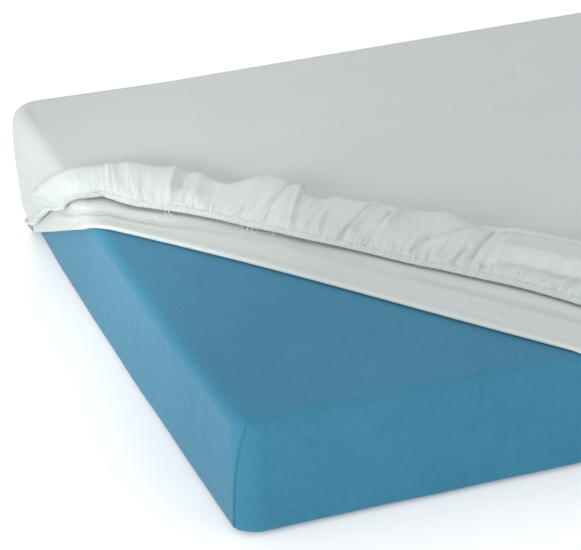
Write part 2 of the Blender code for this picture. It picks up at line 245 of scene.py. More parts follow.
def area_lamp(name, place, target, size, power, colour):
    data = bpy.data.lights.new(name, "AREA")
    data.shape = "RECTANGLE"
    data.size, data.size_y = size
    data.energy = power
    data.color = colour
    lamp = bpy.data.objects.new(name, data)
    bpy.context.collection.objects.link(lamp)
    lamp.location = place
    lamp.rotation_euler = (Vector(target) - Vector(place)).to_track_quat("-Z", "Y").to_euler()
    return lamp


area_lamp(*KEY_LAMP)
end_lamp = area_lamp(*END_LAMP)
end_lamp.data.spread = math.radians(END_SPREAD)
end_lamp.visible_camera = False
half = FLOOR_SIZE / 2
floor_corners = [(-half, -half, 0), (half, -half, 0), (half, half, 0), (-half, half, 0)]
floor = mesh_object("floor", floor_corners, [(0, 1, 2, 3)])
print("stage set")

# %% [markdown]
# ## Finishes
# Woven cotton is two sets of threads crossing at right angles, about thirty to the centimetre. From arm's length
# it reads as a matt surface with small soft creases, so the finish joins a fine weave with a slack, cloudy bump.
# The weave follows the piece's UV map, which is laid out as the flat cloth in metres, so the threads turn over
# with the cloth at each fold. The mattress cover is a brushed knit: its nap catches light at a low angle.


# %% Node helpers
def new_material(name):
    material = bpy.data.materials.new(name)
    material.use_nodes = True
    return material, material.node_tree, material.node_tree.nodes["Principled BSDF"]


def add_node(tree, kind, values=(), **settings):
    node = tree.nodes.new(kind)
    for key, value in settings.items():
        setattr(node, key, value)
    for key, value in dict(values).items():
        node.inputs[key].default_value = value
    return node


def noise(tree, vector, scale, detail=2.0, roughness=0.5, distortion=0.0):
    node = add_node(
        tree,
        "ShaderNodeTexNoise",
        {"Scale": scale, "Detail": detail, "Roughness": roughness, "Distortion": distortion},
    )
    tree.links.new(vector, node.inputs["Vector"])
    return node.outputs["Fac"]


def stripes(tree, vector, direction, pitch, distortion=0.0):
    """Threads side by side: one band of the wave for each thread."""
    node = add_node(
        tree,
        "ShaderNodeTexWave",
        {"Scale": math.pi / (10 * pitch), "Distortion": distortion, "Detail": 1.0, "Detail Scale": 2.0},
        wave_type="BANDS",
        bands_direction=direction,
    )
    tree.links.new(vector, node.inputs["Vector"])
    return node.outputs["Fac"]


def math_node(tree, operation, first, second):
    node = add_node(tree, "ShaderNodeMath", operation=operation)
    for i, value in enumerate((first, second)):
        if isinstance(value, (int, float)):
            node.inputs[i].default_value = value
        else:
            tree.links.new(value, node.inputs[i])
    return node.outputs[0]


def bumps(tree, shader, *layers):
    """Bump on bump, the broadest first; each layer is a height, its depth in metres and its strength."""
    under = None
    for height, depth, strength in layers:
        node = add_node(tree, "ShaderNodeBump", {"Distance": depth, "Strength": strength})
        tree.links.new(height, node.inputs["Height"])
        if under is not None:
            tree.links.new(under, node.inputs["Normal"])
        under = node.outputs["Normal"]
    tree.links.new(under, shader.inputs["Normal"])


def two_colours(tree, shader, share, low, high):
    """Colours the surface between two colours."""
    node = add_node(tree, "ShaderNodeMix", {6: (*low, 1.0), 7: (*high, 1.0)}, data_type="RGBA")
    tree.links.new(share, node.inputs["Factor"])
    tree.links.new(node.outputs[2], shader.inputs["Base Color"])


def finish(shader, roughness, sheen=0.0, sheen_roughness=0.5, sheen_tint=(1, 1, 1), specular=0.3):
    """Values that are the same all over the surface."""
    shader.inputs["Roughness"].default_value = roughness
    shader.inputs["Sheen Weight"].default_value = sheen
    shader.inputs["Sheen Roughness"].default_value = sheen_roughness
    shader.inputs["Sheen Tint"].default_value = (*sheen_tint, 1.0)
    shader.inputs["Specular IOR Level"].default_value = specular


print("node helpers ready")

# %% Cotton, thread, elastic, cover and floor
THREAD_PITCH = 0.00036
COTTON_LOW = (0.548, 0.598, 0.594)
COTTON_HIGH = (0.594, 0.646, 0.640)
COVER_LOW = (0.026, 0.150, 0.258)
COVER_HIGH = (0.068, 0.268, 0.408)
# The overlock thread is lighter than the cotton as a painted highlight on its ribs, and the elastic under it is
# darker as painted shade between the ribs.
OVERLOCK_LIT_LOW, OVERLOCK_LIT_HIGH = (0.68, 0.73, 0.715), (0.80, 0.85, 0.83)
ELASTIC_SHADED_LOW, ELASTIC_SHADED_HIGH = (0.42, 0.465, 0.455), (0.52, 0.565, 0.555)
OVERLOCK_FIBRE = 0.0004
ELASTIC_FIBRE = 0.0007
FLOOR_LOW, FLOOR_HIGH = (0.93, 0.93, 0.93), (0.95, 0.95, 0.95)
FLOOR_GLOW = 0.20
HEM_SQUEEZE = (1.0, 0.16, 1.0)  # draws the streaks near the hem out across it
STREAK_HALVES = 0.016  # the streaks lose half their depth over this much, and the wider folds over the next
FOLD_HALVES = 0.034
OFF_ROLL = 1.0  # the distance to the hem that the map gives to cloth which is not on the roll
SLACK_DEPTH, DRAWN_DEPTH, CRUMPLE_DEPTH, WEAVE_DEPTH = 0.0010, 0.0030, 0.00025, 0.00003
PILE_DEPTH, NAP_DEPTH, LOOP_DEPTH = 0.0010, 0.0006, 0.0004


# Each noise has a scale per metre, a detail, a roughness and a distortion.
def cotton_finish():
    material, tree, shader = new_material("white_cotton")
    place = tree.nodes.new("ShaderNodeTexCoord").outputs["Object"]
    uv = add_node(tree, "ShaderNodeUVMap", uv_map="cloth").outputs["UV"]
    warp = stripes(tree, uv, "X", THREAD_PITCH)
    weft = stripes(tree, uv, "Y", THREAD_PITCH)
    weave = math_node(tree, "MULTIPLY", warp, weft)
    slack = noise(tree, place, 38.0, 3.0, 0.55, 0.4)
    crumple = noise(tree, place, 150.0, 3.0, 0.6, 0.8)
    cloud = noise(tree, place, 7.0, 3.0, 0.6, 0.3)
    hem_uv = add_node(tree, "ShaderNodeUVMap", uv_map="hem").outputs["UV"]
    squeeze = add_node(tree, "ShaderNodeMapping", {"Scale": HEM_SQUEEZE})
    tree.links.new(hem_uv, squeeze.inputs["Vector"])
    streaks = noise(tree, squeeze.outputs["Vector"], 330.0, 2.0, 0.55, 0.5)
    folds = noise(tree, squeeze.outputs["Vector"], 120.0, 3.0, 0.6, 0.9)
    split = tree.nodes.new("ShaderNodeSeparateXYZ")
    tree.links.new(hem_uv, split.inputs["Vector"])
    from_hem = split.outputs["Y"]
    near_hem = math_node(tree, "POWER", 0.5, math_node(tree, "DIVIDE", from_hem, STREAK_HALVES))
    on_face = math_node(tree, "LESS_THAN", from_hem, OFF_ROLL / 2)
    drawn = math_node(tree, "MULTIPLY", streaks, near_hem)
    loose = math_node(tree, "POWER", 0.5, math_node(tree, "DIVIDE", from_hem, FOLD_HALVES))
    loose = math_node(tree, "MULTIPLY", math_node(tree, "MULTIPLY", folds, loose), on_face)
    drawn = math_node(tree, "ADD", drawn, loose)
    layers = ((slack, SLACK_DEPTH), (drawn, DRAWN_DEPTH), (crumple, CRUMPLE_DEPTH), (weave, WEAVE_DEPTH))
    bumps(tree, shader, *((height, depth, 1.0) for height, depth in layers))
    two_colours(tree, shader, cloud, COTTON_LOW, COTTON_HIGH)
    finish(shader, 0.88, sheen=0.10, sheen_roughness=0.45, specular=0.22)
    return material


def thread_finish(name, low, high, pitch):
    material, tree, shader = new_material(name)
    place = tree.nodes.new("ShaderNodeTexCoord").outputs["Object"]
    fibres = noise(tree, place, 1 / pitch, 3.0, 0.6)
    bumps(tree, shader, (fibres, pitch * 0.3, 1.0))
    two_colours(tree, shader, fibres, low, high)
    finish(shader, 0.72, sheen=0.15, sheen_roughness=0.4, specular=0.3)
    return material


def cover_finish():
    material, tree, shader = new_material("brushed_blue_cover")
    place = tree.nodes.new("ShaderNodeTexCoord").outputs["Object"]
    nap = noise(tree, place, 420.0, 3.0, 0.65)
    pile = noise(tree, place, 95.0, 4.0, 0.6, 0.6)
    worn = noise(tree, place, 9.0, 4.0, 0.6, 0.3)
    loops = add_node(tree, "ShaderNodeTexVoronoi", {"Scale": 620.0, "Randomness": 0.7})
    tree.links.new(place, loops.inputs["Vector"])
    bumps(tree, shader, (pile, PILE_DEPTH, 1.0), (nap, NAP_DEPTH, 1.0), (loops.outputs["Distance"], LOOP_DEPTH, 0.6))
    shares = [math_node(tree, "MULTIPLY", part, share) for part, share in ((nap, 0.42), (pile, 0.35), (worn, 0.35))]
    mixed = math_node(tree, "ADD", math_node(tree, "ADD", shares[0], shares[1]), shares[2])
    two_colours(tree, shader, mixed, COVER_LOW, COVER_HIGH)
    finish(shader, 0.95, sheen=0.34, sheen_roughness=0.32, sheen_tint=(1.0, 0.97, 0.92), specular=0.10)
    return material


def floor_finish():
    material, tree, shader = new_material("pale_floor")
    place = tree.nodes.new("ShaderNodeTexCoord").outputs["Object"]
    grain = noise(tree, place, 3.0, 2.0)
    two_colours(tree, shader, grain, FLOOR_LOW, FLOOR_HIGH)
    finish(shader, 0.9, specular=0.1)
    shader.inputs["Emission Color"].default_value = (1.0, 1.0, 1.0, 1.0)
    shader.inputs["Emission Strength"].default_value = FLOOR_GLOW
    return material


COTTON = cotton_finish()
# The thread's colours carry the painted highlight of the ribs, and the elastic's the painted shade between them.
OVERLOCK = thread_finish("overlock_thread", OVERLOCK_LIT_LOW, OVERLOCK_LIT_HIGH, OVERLOCK_FIBRE)
ELASTIC = thread_finish("woven_elastic", ELASTIC_SHADED_LOW, ELASTIC_SHADED_HIGH, ELASTIC_FIBRE)
COVER = cover_finish()
floor.data.materials.append(floor_finish())
print("finishes:", [m.name for m in (COTTON, OVERLOCK, ELASTIC, COVER)])

# %% [markdown]
# ## The mattress in its cover
# The mattress is a foam block in a brushed knit cover. Its top and bottom edges are soft, its sides stand out a
# little, and the cover is closed by an upright seam at each corner. It could be a cube with bevels, but a stack of
# outlines lets each ring bulge, wander a little and pinch in at the seams, as a cover does over foam.

# %% Build the mattress cover
CORNER_STEPS = 64
SEAM_EDGE = 0.0036  # the seam draws the cover to an edge at the corner
SEAM_EDGE_WIDTH = 0.0070
SEAM_PINCH = 0.0036
SEAM_PINCH_WIDTH = 0.0014
SEAM_FADE = 0.0100  # both fade out over this much before the corner's turn ends
SEAM_FOOT = -0.0105  # the seam stands off the middle of the corner, and comes back over it near the top
SEAM_LEAN = 0.0180
COVER_RIM = -0.012  # the first ring lies this much inside the top edge
COVER_LONG_STEPS = 80
COVER_END_STEPS = 36
COVER_DOWN_STEPS = (10, 16, 8)  # round the top edge, down the side and round the foot
WANDER_HEIGHT = 0.001
# Each wave of the side's unevenness: its share, radians for each metre along and up, and where it begins
WANDER = ((0.35, 31, 9, 0.0), (0.30, 17, -23, 1.3), (0.25, 53, 31, 0.4))


def seam_profile(distance):
    """How far the cover stands out near a corner seam: an edge with a narrow pinched groove along it."""
    edge = SEAM_EDGE * np.exp(-np.abs(distance) / SEAM_EDGE_WIDTH)
    return edge - SEAM_PINCH * np.exp(-((distance / SEAM_PINCH_WIDTH) ** 2))


def mattress_outline():
    outline = corner_arc(PLAN_RADIUS, FAR_Y, math.pi, CORNER_STEPS)
    outline += straight((PLAN_RADIUS, WIDTH), (FAR_X, WIDTH), (0, 1), COVER_LONG_STEPS)
    outline += corner_arc(FAR_X, FAR_Y, math.pi / 2, CORNER_STEPS)
    outline += straight((LENGTH, FAR_Y), (LENGTH, PLAN_RADIUS), (1, 0), COVER_END_STEPS)
    outline += corner_arc(FAR_X, PLAN_RADIUS, 0.0, CORNER_STEPS)
    outline += straight((FAR_X, 0), (PLAN_RADIUS, 0), (0, -1), COVER_LONG_STEPS)
    outline += corner_arc(PLAN_RADIUS, PLAN_RADIUS, -math.pi / 2, CORNER_STEPS)
    outline += straight((0, PLAN_RADIUS), (0, FAR_Y), (-1, 0), COVER_END_STEPS)
    return outline


def wander(along, up):
    """A slow unevenness of the foam's side, under a millimetre."""
    return WANDER_HEIGHT * sum(share * np.sin(a * along + b * up + start) for share, a, b, start in WANDER)


def make_mattress():
    outline = mattress_outline()
    place = np.array([p for p, _ in outline])
    normal = np.array([n for _, n in outline])
    along = place[:, 0] + 0.7 * place[:, 1]
    on_corner = np.abs(np.abs(normal[:, 0]) - np.abs(normal[:, 1])) < 0.999
    from_middle = (np.arctan2(normal[:, 1], normal[:, 0]) % (math.pi / 2) - math.pi / 4) * PLAN_RADIUS
    inside_turn = ease((PLAN_RADIUS * math.pi / 4 - np.abs(from_middle)) / SEAM_FADE)
    ends = (0.0, TOP_TURN, SIDE_END, SIDE_END + BOTTOM_TURN)
    downs = [COVER_RIM, 0.0]
    for low, high, steps in zip(ends, ends[1:], COVER_DOWN_STEPS):
        downs += spread(low, high, steps)
    rings = []
    for down in downs:
        out, up, _ = section(down, 0.0)
        level = ease((down + 0.004) / 0.03)  # the top panel itself stays flat
        seam_at = SEAM_FOOT + SEAM_LEAN * min(up / HEIGHT, 1.0) ** 3
        seam = np.where(on_corner, seam_profile(from_middle - seam_at) * inside_turn, 0.0)
        proud = (seam + wander(along, up)) * level
        rings.append(np.column_stack([place + normal * (out + proud)[:, None], np.full(len(place), up + BASE)]))
    count = len(place)
    faces = [tuple(range(count)), tuple(reversed(range((len(rings) - 1) * count, len(rings) * count)))]
    faces += quads(len(rings), count, False, True)
    shape = mesh_object("mattress_cover", placed(np.array(rings)), faces)
    faces_outward(shape)
    shape.data.materials.append(COVER)
    return shape


mattress = make_mattress()
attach(mattress, "root")
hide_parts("mattress")
print("mattress cover:", len(mattress.data.polygons), "faces")

# %% [markdown]
# ## The sheet's run, section by section
# The sheet is one cloth. It covers the top, goes down the sides and under, and at the bare corner it folds back
# along a taut slanting line, lies flat over itself, and then rolls forward again to its gathered edge. A closed
# loop of cross-sections can say all of that. Each section starts at the rim of the flat top panel and ends at the
# hem, and all have the same number of points, so neighbouring sections join in quads. A cloth simulation of a
# whole bed would take far longer and would not put the folds where they are wanted.

# %% Sizes of the fold and the roll
FOLD_ON_END_TOP = 0.517
FOLD_ON_FRONT_TOP = 0.442
FOLD_ON_END_FOOT = 0.816
FOLD_BOW = 0.0062  # the taut fold bends back this much in the middle
FOLD_BOW_SKEW = 0.0020  # and this much more in its first half
FOLD_RISES = (0.030, 0.270)  # down the sides the roll starts to lean upward so far down, and over so much
FOLD_RISE = 0.75  # and comes this share of the way to upright
FOLD_LENGTH = math.hypot(FOLD_ON_END_TOP, FOLD_ON_FRONT_TOP)
TURN_SHARE = 0.5  # of the mattress's foot, for the first stretch of cloth that follows it
SLOPE_FULLNESS = 1.28  # 1 makes the roll's front a quarter ellipse, and more makes it lean back evenly

# Place is the distance along the slanting fold from the end's top edge, negative down the end. Reach is how far
# the roll goes back, crest its height, hem_reach and hem_height say where its gathered edge is.
ROLL_COLUMNS = ("place", "reach", "crest", "hem_reach", "hem_height", "curl")
ROLL = (
    (-0.316, 0.016, 0.0110, 0.010, 0.0095),
    (-0.306, 0.021, 0.0140, 0.011, 0.0110),
    (-0.292, 0.026, 0.0170, 0.012, 0.0125),
    (-0.262, 0.034, 0.0205, 0.015, 0.0140),
    (-0.225, 0.044, 0.0240, 0.022, 0.0150),
    (-0.190, 0.054, 0.0255, 0.028, 0.0155),
    (-0.145, 0.076, 0.0265, 0.040, 0.0160),
    (-0.095, 0.102, 0.0285, 0.053, 0.0160),
    (-0.045, 0.124, 0.0325, 0.065, 0.0170),
    (-0.010, 0.120, 0.0360, 0.072, 0.0170),
    (0.023, 0.123, 0.040, 0.076, 0.0165),
    (0.054, 0.143, 0.041, 0.068, 0.0165),
    (0.085, 0.145, 0.040, 0.069, 0.0165),
    (0.116, 0.152, 0.038, 0.072, 0.0165),
    (0.132, 0.147, 0.036, 0.072, 0.0165),
    (0.147, 0.149, 0.036, 0.072, 0.0165),
    (0.164, 0.163, 0.042, 0.072, 0.0165),
    (0.194, 0.166, 0.044, 0.073, 0.0165),
    (0.220, 0.161, 0.041, 0.075, 0.0165),
    (0.240, 0.153, 0.036, 0.0755, 0.0165),
    (0.256, 0.164, 0.033, 0.0765, 0.0165),
    (0.295, 0.171, 0.034, 0.080, 0.0160),
    (0.328, 0.174, 0.035, 0.083, 0.0155),
    (0.358, 0.180, 0.036, 0.085, 0.0150),
    (0.407, 0.191, 0.037, 0.087, 0.0150),
    (0.444, 0.186, 0.033, 0.091, 0.0150),
    (0.468, 0.194, 0.034, 0.093, 0.0150),
    (0.508, 0.200, 0.036, 0.096, 0.0150),
    (0.555, 0.212, 0.036, 0.101, 0.0150),
    (0.608, 0.221, 0.037, 0.104, 0.0150),
    (0.648, 0.212, 0.036, 0.102, 0.0155),
    (0.700, 0.156, 0.035, 0.080, 0.0170),
    (0.750, 0.114, 0.033, 0.064, 0.0170),
    (0.810, 0.080, 0.030, 0.044, 0.0170),
    (0.860, 0.046, 0.0250, 0.023, 0.0150),
    (0.897, 0.034, 0.0205, 0.015, 0.0140),
    (0.923, 0.026, 0.0170, 0.012, 0.0125),
    (0.937, 0.021, 0.0140, 0.011, 0.0110),
    (0.949, 0.016, 0.0110, 0.010, 0.0095),
)

# Curl is 1 where the cloth rolls right over, and less in the outermost rows, where the roll runs out.
END_CURLS = (0.20, 0.90)

# How finely each stretch of a section is divided
TURN_STEPS = 7
SIDE_STEPS = 6
FOLD_STEPS = 5
BACK_STEPS = 26
ROUND_STEPS = 8
SLOPE_STEPS = 30
BOTTOM_STEPS = 6
TAIL_STEPS = FOLD_STEPS + BACK_STEPS + ROUND_STEPS + SLOPE_STEPS

# Where the edge comes out from under the mattress: distance from the fold's foot, share of the bottom turn that
# the cloth follows, and its tilt outward in degrees.
TURNING = (
    (0.050, 1.00, 0),
    (0.044, 0.75, 0),
    (0.038, 0.48, 0),
    (0.032, 0.22, 0),
    (0.024, 0.00, 25),
    (0.016, 0.00, 75),
    (0.008, 0.00, 130),
)
print("the slanting fold is", round(FOLD_LENGTH, 3), "m long on the top")


# %% The fold line and the roll at any place
UP = np.array([0.0, 0.0, 1.0])
# The two sides that the fold runs down: the way out of each, and the way along it from the bare corner
SIDES = {
    "end": (np.array([-1.0, 0.0, 0.0]), np.array([0.0, 1.0, 0.0])),
    "front": (np.array([0.0, -1.0, 0.0]), np.array([1.0, 0.0, 0.0])),
}


def fold_line(kind, value):
    """A point of the slanting fold and the mattress's outward normal there."""
    end_slope = (FOLD_ON_END_FOOT - FOLD_ON_END_TOP) / HEIGHT
    ratio = FOLD_ON_FRONT_TOP / FOLD_ON_END_TOP
    if kind == "top":
        return np.array([value, FOLD_ON_END_TOP - value / ratio, HEIGHT]), UP
    out, up, normal = section(value, 0.0)
    if kind == "end":
        run = FOLD_ON_END_TOP + out / ratio + (HEIGHT - up) * end_slope
    else:
        run = FOLD_ON_FRONT_TOP + out * ratio + (HEIGHT - up) * end_slope * ratio
    outside, along = SIDES[kind]
    return along * run + outside * out + UP * up, outside * normal[0] + UP * normal[1]


curls = np.ones(len(ROLL))
curls[:2], curls[-2:] = END_CURLS, END_CURLS[::-1]
ROLL_ROWS = np.column_stack([ROLL, curls])


def roll_at(place):
    """The roll's sizes at a place, on a smooth curve through the rows of its table."""
    places = ROLL_ROWS[:, 0]
    place = float(np.clip(place, places[0], places[-1]))
    i = int(np.clip(np.searchsorted(places, place) - 1, 0, len(places) - 2))
    width = places[i + 1] - places[i]
    share = (place - places[i]) / width
    before = max(i - 1, 0)
    after = min(i + 2, len(places) - 1)
    low, high = ROLL_ROWS[i], ROLL_ROWS[i + 1]
    low_slope = (high - ROLL_ROWS[before]) / (places[i + 1] - places[before]) * width
    high_slope = (ROLL_ROWS[after] - low) / (places[after] - places[i]) * width
    s2, s3 = share**2, share**3
    values = (2 * s3 - 3 * s2 + 1) * low + (s3 - 2 * s2 + share) * low_slope
    values = values + (3 * s2 - 2 * s3) * high + (s3 - s2) * high_slope
    return dict(zip(ROLL_COLUMNS, values))


def uncurled(start, points, curl):
    """The same length of cloth from `start` on, with each turn that it makes brought down to a share `curl`."""
    here = last = start
    placed_points = []
    for point in points:
        step = (point[0] - last[0], point[1] - last[1])
        heading = curl * (math.atan2(step[1], step[0]) % (2 * math.pi))
        length = math.hypot(*step)
        here = (here[0] + length * math.cos(heading), here[1] + length * math.sin(heading))
        placed_points.append(here)
        last = point
    return placed_points


def roll_section(roll):
    """The cloth past the fold, as distances behind it and heights: back, round the roll and forward to its edge."""
    flat = []
    for angle in spread(0.0, math.pi, FOLD_STEPS):
        flat.append((-FOLD_RADIUS * math.sin(angle), LIFT + FOLD_RADIUS * (1 - math.cos(angle))))
    second = LIFT + 2 * FOLD_RADIUS
    radius = (roll["crest"] - second) / 2
    turn = roll["reach"] - radius
    flat += [(back, second) for back in spread(0.0, turn, BACK_STEPS, 1.25)]
    points = []
    for angle in spread(-math.pi / 2, math.pi / 2, ROUND_STEPS):
        points.append((turn + radius * math.cos(angle), second + radius * (1 + math.sin(angle))))
    fall = roll["crest"] - roll["hem_height"]
    for angle in spread(0.0, math.pi / 2, SLOPE_STEPS):
        forward = blend(turn, roll["hem_reach"], math.sin(angle) ** SLOPE_FULLNESS)
        points.append((forward, roll["hem_height"] + fall * math.cos(angle) ** SLOPE_FULLNESS))
    return flat + uncurled(flat[-1], points, roll["curl"])


print("the roll is highest at", max(ROLL_ROWS[:, 2]), "m")


# %% One section of each kind
LEAST_LENGTHS = (0.005, 0.006, 0.006)  # of the first layer's three stretches
UNDER_HEIGHT = CLOTH * 0.6  # the height of the tucked cloth's middle over the floor


def first_layer_downs(end):
    """Lengths down the section for the first layer's points, from the panel's rim to `end`."""
    marks = [-PANEL_INSET, 0.0, TOP_TURN, end]
    for i in (2, 1, 0):
        marks[i] = min(marks[i], marks[i + 1] - LEAST_LENGTHS[i])
    downs = marks[:2]
    downs += spread(marks[1], marks[2], TURN_STEPS)
    downs += spread(marks[2], marks[3], SIDE_STEPS)
    return downs


def tuck_point(place, normal):
    inset = TUCK + TUCK_RADIUS
    centre = np.array([np.clip(place[0], inset, LENGTH - inset), np.clip(place[1], inset, WIDTH - inset)])
    return centre + normal * TUCK_RADIUS


def covered_station(place, normal, edge):
    """The sheet where it covers the mattress: over the side, round the foot and under."""
    points = []
    bend = spread(SIDE_END, SIDE_END + BOTTOM_TURN, BOTTOM_STEPS)
    for down in first_layer_downs(SIDE_END) + bend:
        out, up, _ = section(down, LIFT)
        points.append([*(place + normal * out), BASE + up])
    foot = place - normal * BOTTOM_RADIUS
    level = points[-1][2]
    for step in spread(0.0, 1.0, TAIL_STEPS - BOTTOM_STEPS):
        points.append([*blend(foot, edge, step), blend(level, UNDER_HEIGHT, ease(step * 4))])
    return points


def turning_station(kind, distance, turn, tilt):
    """The sheet where its edge comes out from under the mattress: a short tail, round its foot or tilted out."""
    place, normal = fold_line(kind, SIDE_END)
    place = place + SIDES[kind][1] * distance
    downs = first_layer_downs(SIDE_END)
    if turn:
        middle = SIDE_END + turn * TURN_SHARE * BOTTOM_TURN
        downs += spread(SIDE_END, middle, BOTTOM_STEPS)
        downs += spread(middle, SIDE_END + turn * BOTTOM_TURN, TAIL_STEPS - BOTTOM_STEPS)
    points = []
    for down in downs:
        out, up, _ = section(down, LIFT)
        points.append(np.array([place[0], place[1], BASE + up]) + normal * out)
    if not turn:
        start = points[-1]
        for angle in spread(0.0, math.radians(tilt), FOLD_STEPS):
            points.append(start + (normal * (1 - math.cos(angle)) - UP * math.sin(angle)) * FOLD_RADIUS)
        last = points[-1]
        way = normal * math.sin(angle) - UP * math.cos(angle)
        points += [last + way * length for length in spread(0.0, HEM_TAIL, TAIL_STEPS - FOLD_STEPS)]
    return points


FAN_SHARE = 0.25  # over this share of the fold, at each end, the roll fans round to run along the mattress's edge
FAN_PULL = 3.0  # how far round it is pulled, against 1 for straight back from the fold
SQUARE = np.array([FOLD_ON_END_TOP, FOLD_ON_FRONT_TOP, 0]) / FOLD_LENGTH


def folded_station(kind, value):
    """The sheet across the slanting fold and the roll behind it, and the place along the fold."""
    place, normal = fold_line(kind, value)
    if kind == "top":
        share = value / FOLD_ON_FRONT_TOP
        position = share * FOLD_LENGTH
        turn = math.pi * np.clip(share, 0, 1)
        place = place + SQUARE * (FOLD_BOW * math.sin(turn) + FOLD_BOW_SKEW * math.sin(2 * turn))
        near_end = (1 - ease(share / FAN_SHARE)) * FAN_PULL
        near_front = (1 - ease((1 - share) / FAN_SHARE)) * FAN_PULL
        behind = unit(SQUARE + np.array([near_front, near_end, 0]))
        ahead = unit(-SQUARE - np.array([near_end, near_front, 0]))
        points = [place + ahead * down + normal * (LIFT + BASE) for down in first_layer_downs(0.0)]
    else:
        edge, _ = fold_line(kind, TOP_TURN / 2)
        away = np.linalg.norm(place - edge) * (1 if value > TOP_TURN / 2 else -1)
        position = -away if kind == "end" else FOLD_LENGTH + away
        upright = FOLD_RISE * ease((away - FOLD_RISES[0]) / FOLD_RISES[1])
        outside, along = SIDES[kind]
        behind = unit(blend(along, UP, upright))
        points = []
        for down in first_layer_downs(value):
            out, up, _ = section(down, LIFT)
            points.append(place * along + outside * out + UP * (BASE + up))
    base = place + UP * BASE
    points += [base + behind * back + normal * height for back, height in roll_section(roll_at(position))]
    return points, position


print("each section has", 2 + TURN_STEPS + SIDE_STEPS + TAIL_STEPS, "points")

# %% [markdown]
# ## All the sections in order
# Sections lie less than two millimetres apart along the roll, where the gathers are, and much further apart where
# the cloth is stretched smooth. With each section the loop keeps its place along the fold. A section that covers
# the mattress has a place far outside the fold instead.

# %% Lay out the loop of sections
TOP_SECTIONS = 400
END_SECTIONS = 50
FRONT_SECTIONS = 34
ARC_SECTIONS = 10
LONG_SIDE_SECTIONS = 10
FAR_END_SECTIONS = 5
NEAR_SIDE_SECTIONS = 8
FOOT_OF_FOLD = 0.040
OUTSIDE = 9.0  # the place given to a section that the roll does not reach


def fold_downs(sections):
    """Lengths down the section where the fold's sections lie, closer together at both ends."""
    few = max(4, sections // 6)
    downs = spread(0.0, TOP_TURN, few)
    downs += spread(TOP_TURN, SIDE_END - FOOT_OF_FOLD, sections - 2 * few)
    return downs + spread(SIDE_END - FOOT_OF_FOLD, SIDE_END, few)


def sheet_stations():
    """Every section, once round the sheet's edge, and the place along the fold that each belongs to."""
    end_foot = fold_line("end", SIDE_END)[0][1]
    front_foot = fold_line("front", SIDE_END)[0][0]
    last_covered = front_foot + 2 * TURNING[0][0]
    tuck_start = np.array([BOTTOM_RADIUS + HEM_TAIL, end_foot + TURNING[0][0] + ELASTIC_WIDTH])
    tuck_full = np.array([TUCK + TUCK_RADIUS, WIDTH - TUCK])
    found = []
    for i, (place, normal) in enumerate(corner_arc(PLAN_RADIUS, FAR_Y, math.pi, ARC_SECTIONS)):
        found.append((covered_station(place, normal, blend(tuck_start, tuck_full, i / ARC_SECTIONS)), OUTSIDE))
    outline = straight((PLAN_RADIUS, WIDTH), (FAR_X, WIDTH), (0, 1), LONG_SIDE_SECTIONS)
    outline += corner_arc(FAR_X, FAR_Y, math.pi / 2, ARC_SECTIONS)
    outline += straight((LENGTH, FAR_Y), (LENGTH, PLAN_RADIUS), (1, 0), FAR_END_SECTIONS)
    outline += corner_arc(FAR_X, PLAN_RADIUS, 0.0, ARC_SECTIONS)
    outline += straight((FAR_X, 0), (last_covered, 0), (0, -1), NEAR_SIDE_SECTIONS)
    outline.append((np.array([last_covered, 0.0]), np.array([0.0, -1.0])))
    for place, normal in outline:
        share = ease(np.linalg.norm(place - np.array([front_foot, 0])) / TUCK_TAPER)
        edge = blend(place, tuck_point(place, normal), share)
        edge[1] = max(edge[1], BOTTOM_RADIUS + HEM_TAIL)
        found.append((covered_station(place, normal, edge), OUTSIDE))
    found += [(turning_station("front", *row), OUTSIDE) for row in TURNING]
    found += [folded_station("front", down) for down in reversed(fold_downs(FRONT_SECTIONS))]
    last_x = FOLD_ON_FRONT_TOP * (1 - TOP_RADIUS / FOLD_ON_END_TOP)
    top_places = [TOP_RADIUS] + spread(TOP_RADIUS, last_x, TOP_SECTIONS - 1)
    found += [folded_station("top", x) for x in reversed(top_places)]
    found += [folded_station("end", down) for down in fold_downs(END_SECTIONS)]
    found += [(turning_station("end", *row), OUTSIDE) for row in reversed(TURNING)]
    return np.array([s for s, _ in found], dtype=float), np.array([p for _, p in found])


cloth, cloth_place = sheet_stations()
FIRST = 2 + TURN_STEPS + SIDE_STEPS  # the first column past the fold
BACK_END = FIRST + FOLD_STEPS + BACK_STEPS
print("sections and points:", cloth.shape[:2], "over", round(float(cloth_place.min()), 3), "to", FOLD_LENGTH)

# %% [markdown]
# ## Folds and gathers
# The elastic draws the edge in to a little over half its length, so the cloth above it has to go somewhere. At the
# elastic it stands in narrow sharp ridges a few millimetres apart. Further back the ridges run together into fewer
# and softer ones, and the roll itself heaves in broad lobes. All of these move points along the cloth's own
# outward direction, so they stay folds of one sheet. The largest creases are listed in a table.

# %% Directions on the cloth
loop = np.concatenate([cloth[-1:], cloth, cloth[:1]])
along_cloth = loop[2:] - loop[:-2]
down_cloth = np.empty_like(cloth)
down_cloth[:, 1:-1] = cloth[:, 2:] - cloth[:, :-2]
down_cloth[:, 0] = cloth[:, 1] - cloth[:, 0]
down_cloth[:, -1] = cloth[:, -1] - cloth[:, -2]
outward = unit(np.cross(along_cloth, down_cloth) + 1e-12)

# The distance forward from each point to the hem, and the hem's own length round the sheet
to_hem = lengths_along(cloth[:, ::-1])[:, ::-1]
hem_run = lengths_along(cloth[:, -1])
on_roll = cloth_place < OUTSIDE
is_slope = np.zeros(cloth.shape[:2], dtype=bool)
is_slope[on_roll, BACK_END:] = True
# From 0 at the hem to 1 where the roll's back begins
back_share = np.clip(to_hem / np.maximum(to_hem[:, BACK_END : BACK_END + 1], 1e-6), 0, 1)
print("hem runs", round(float(hem_run[-1]), 3), "m round the sheet")


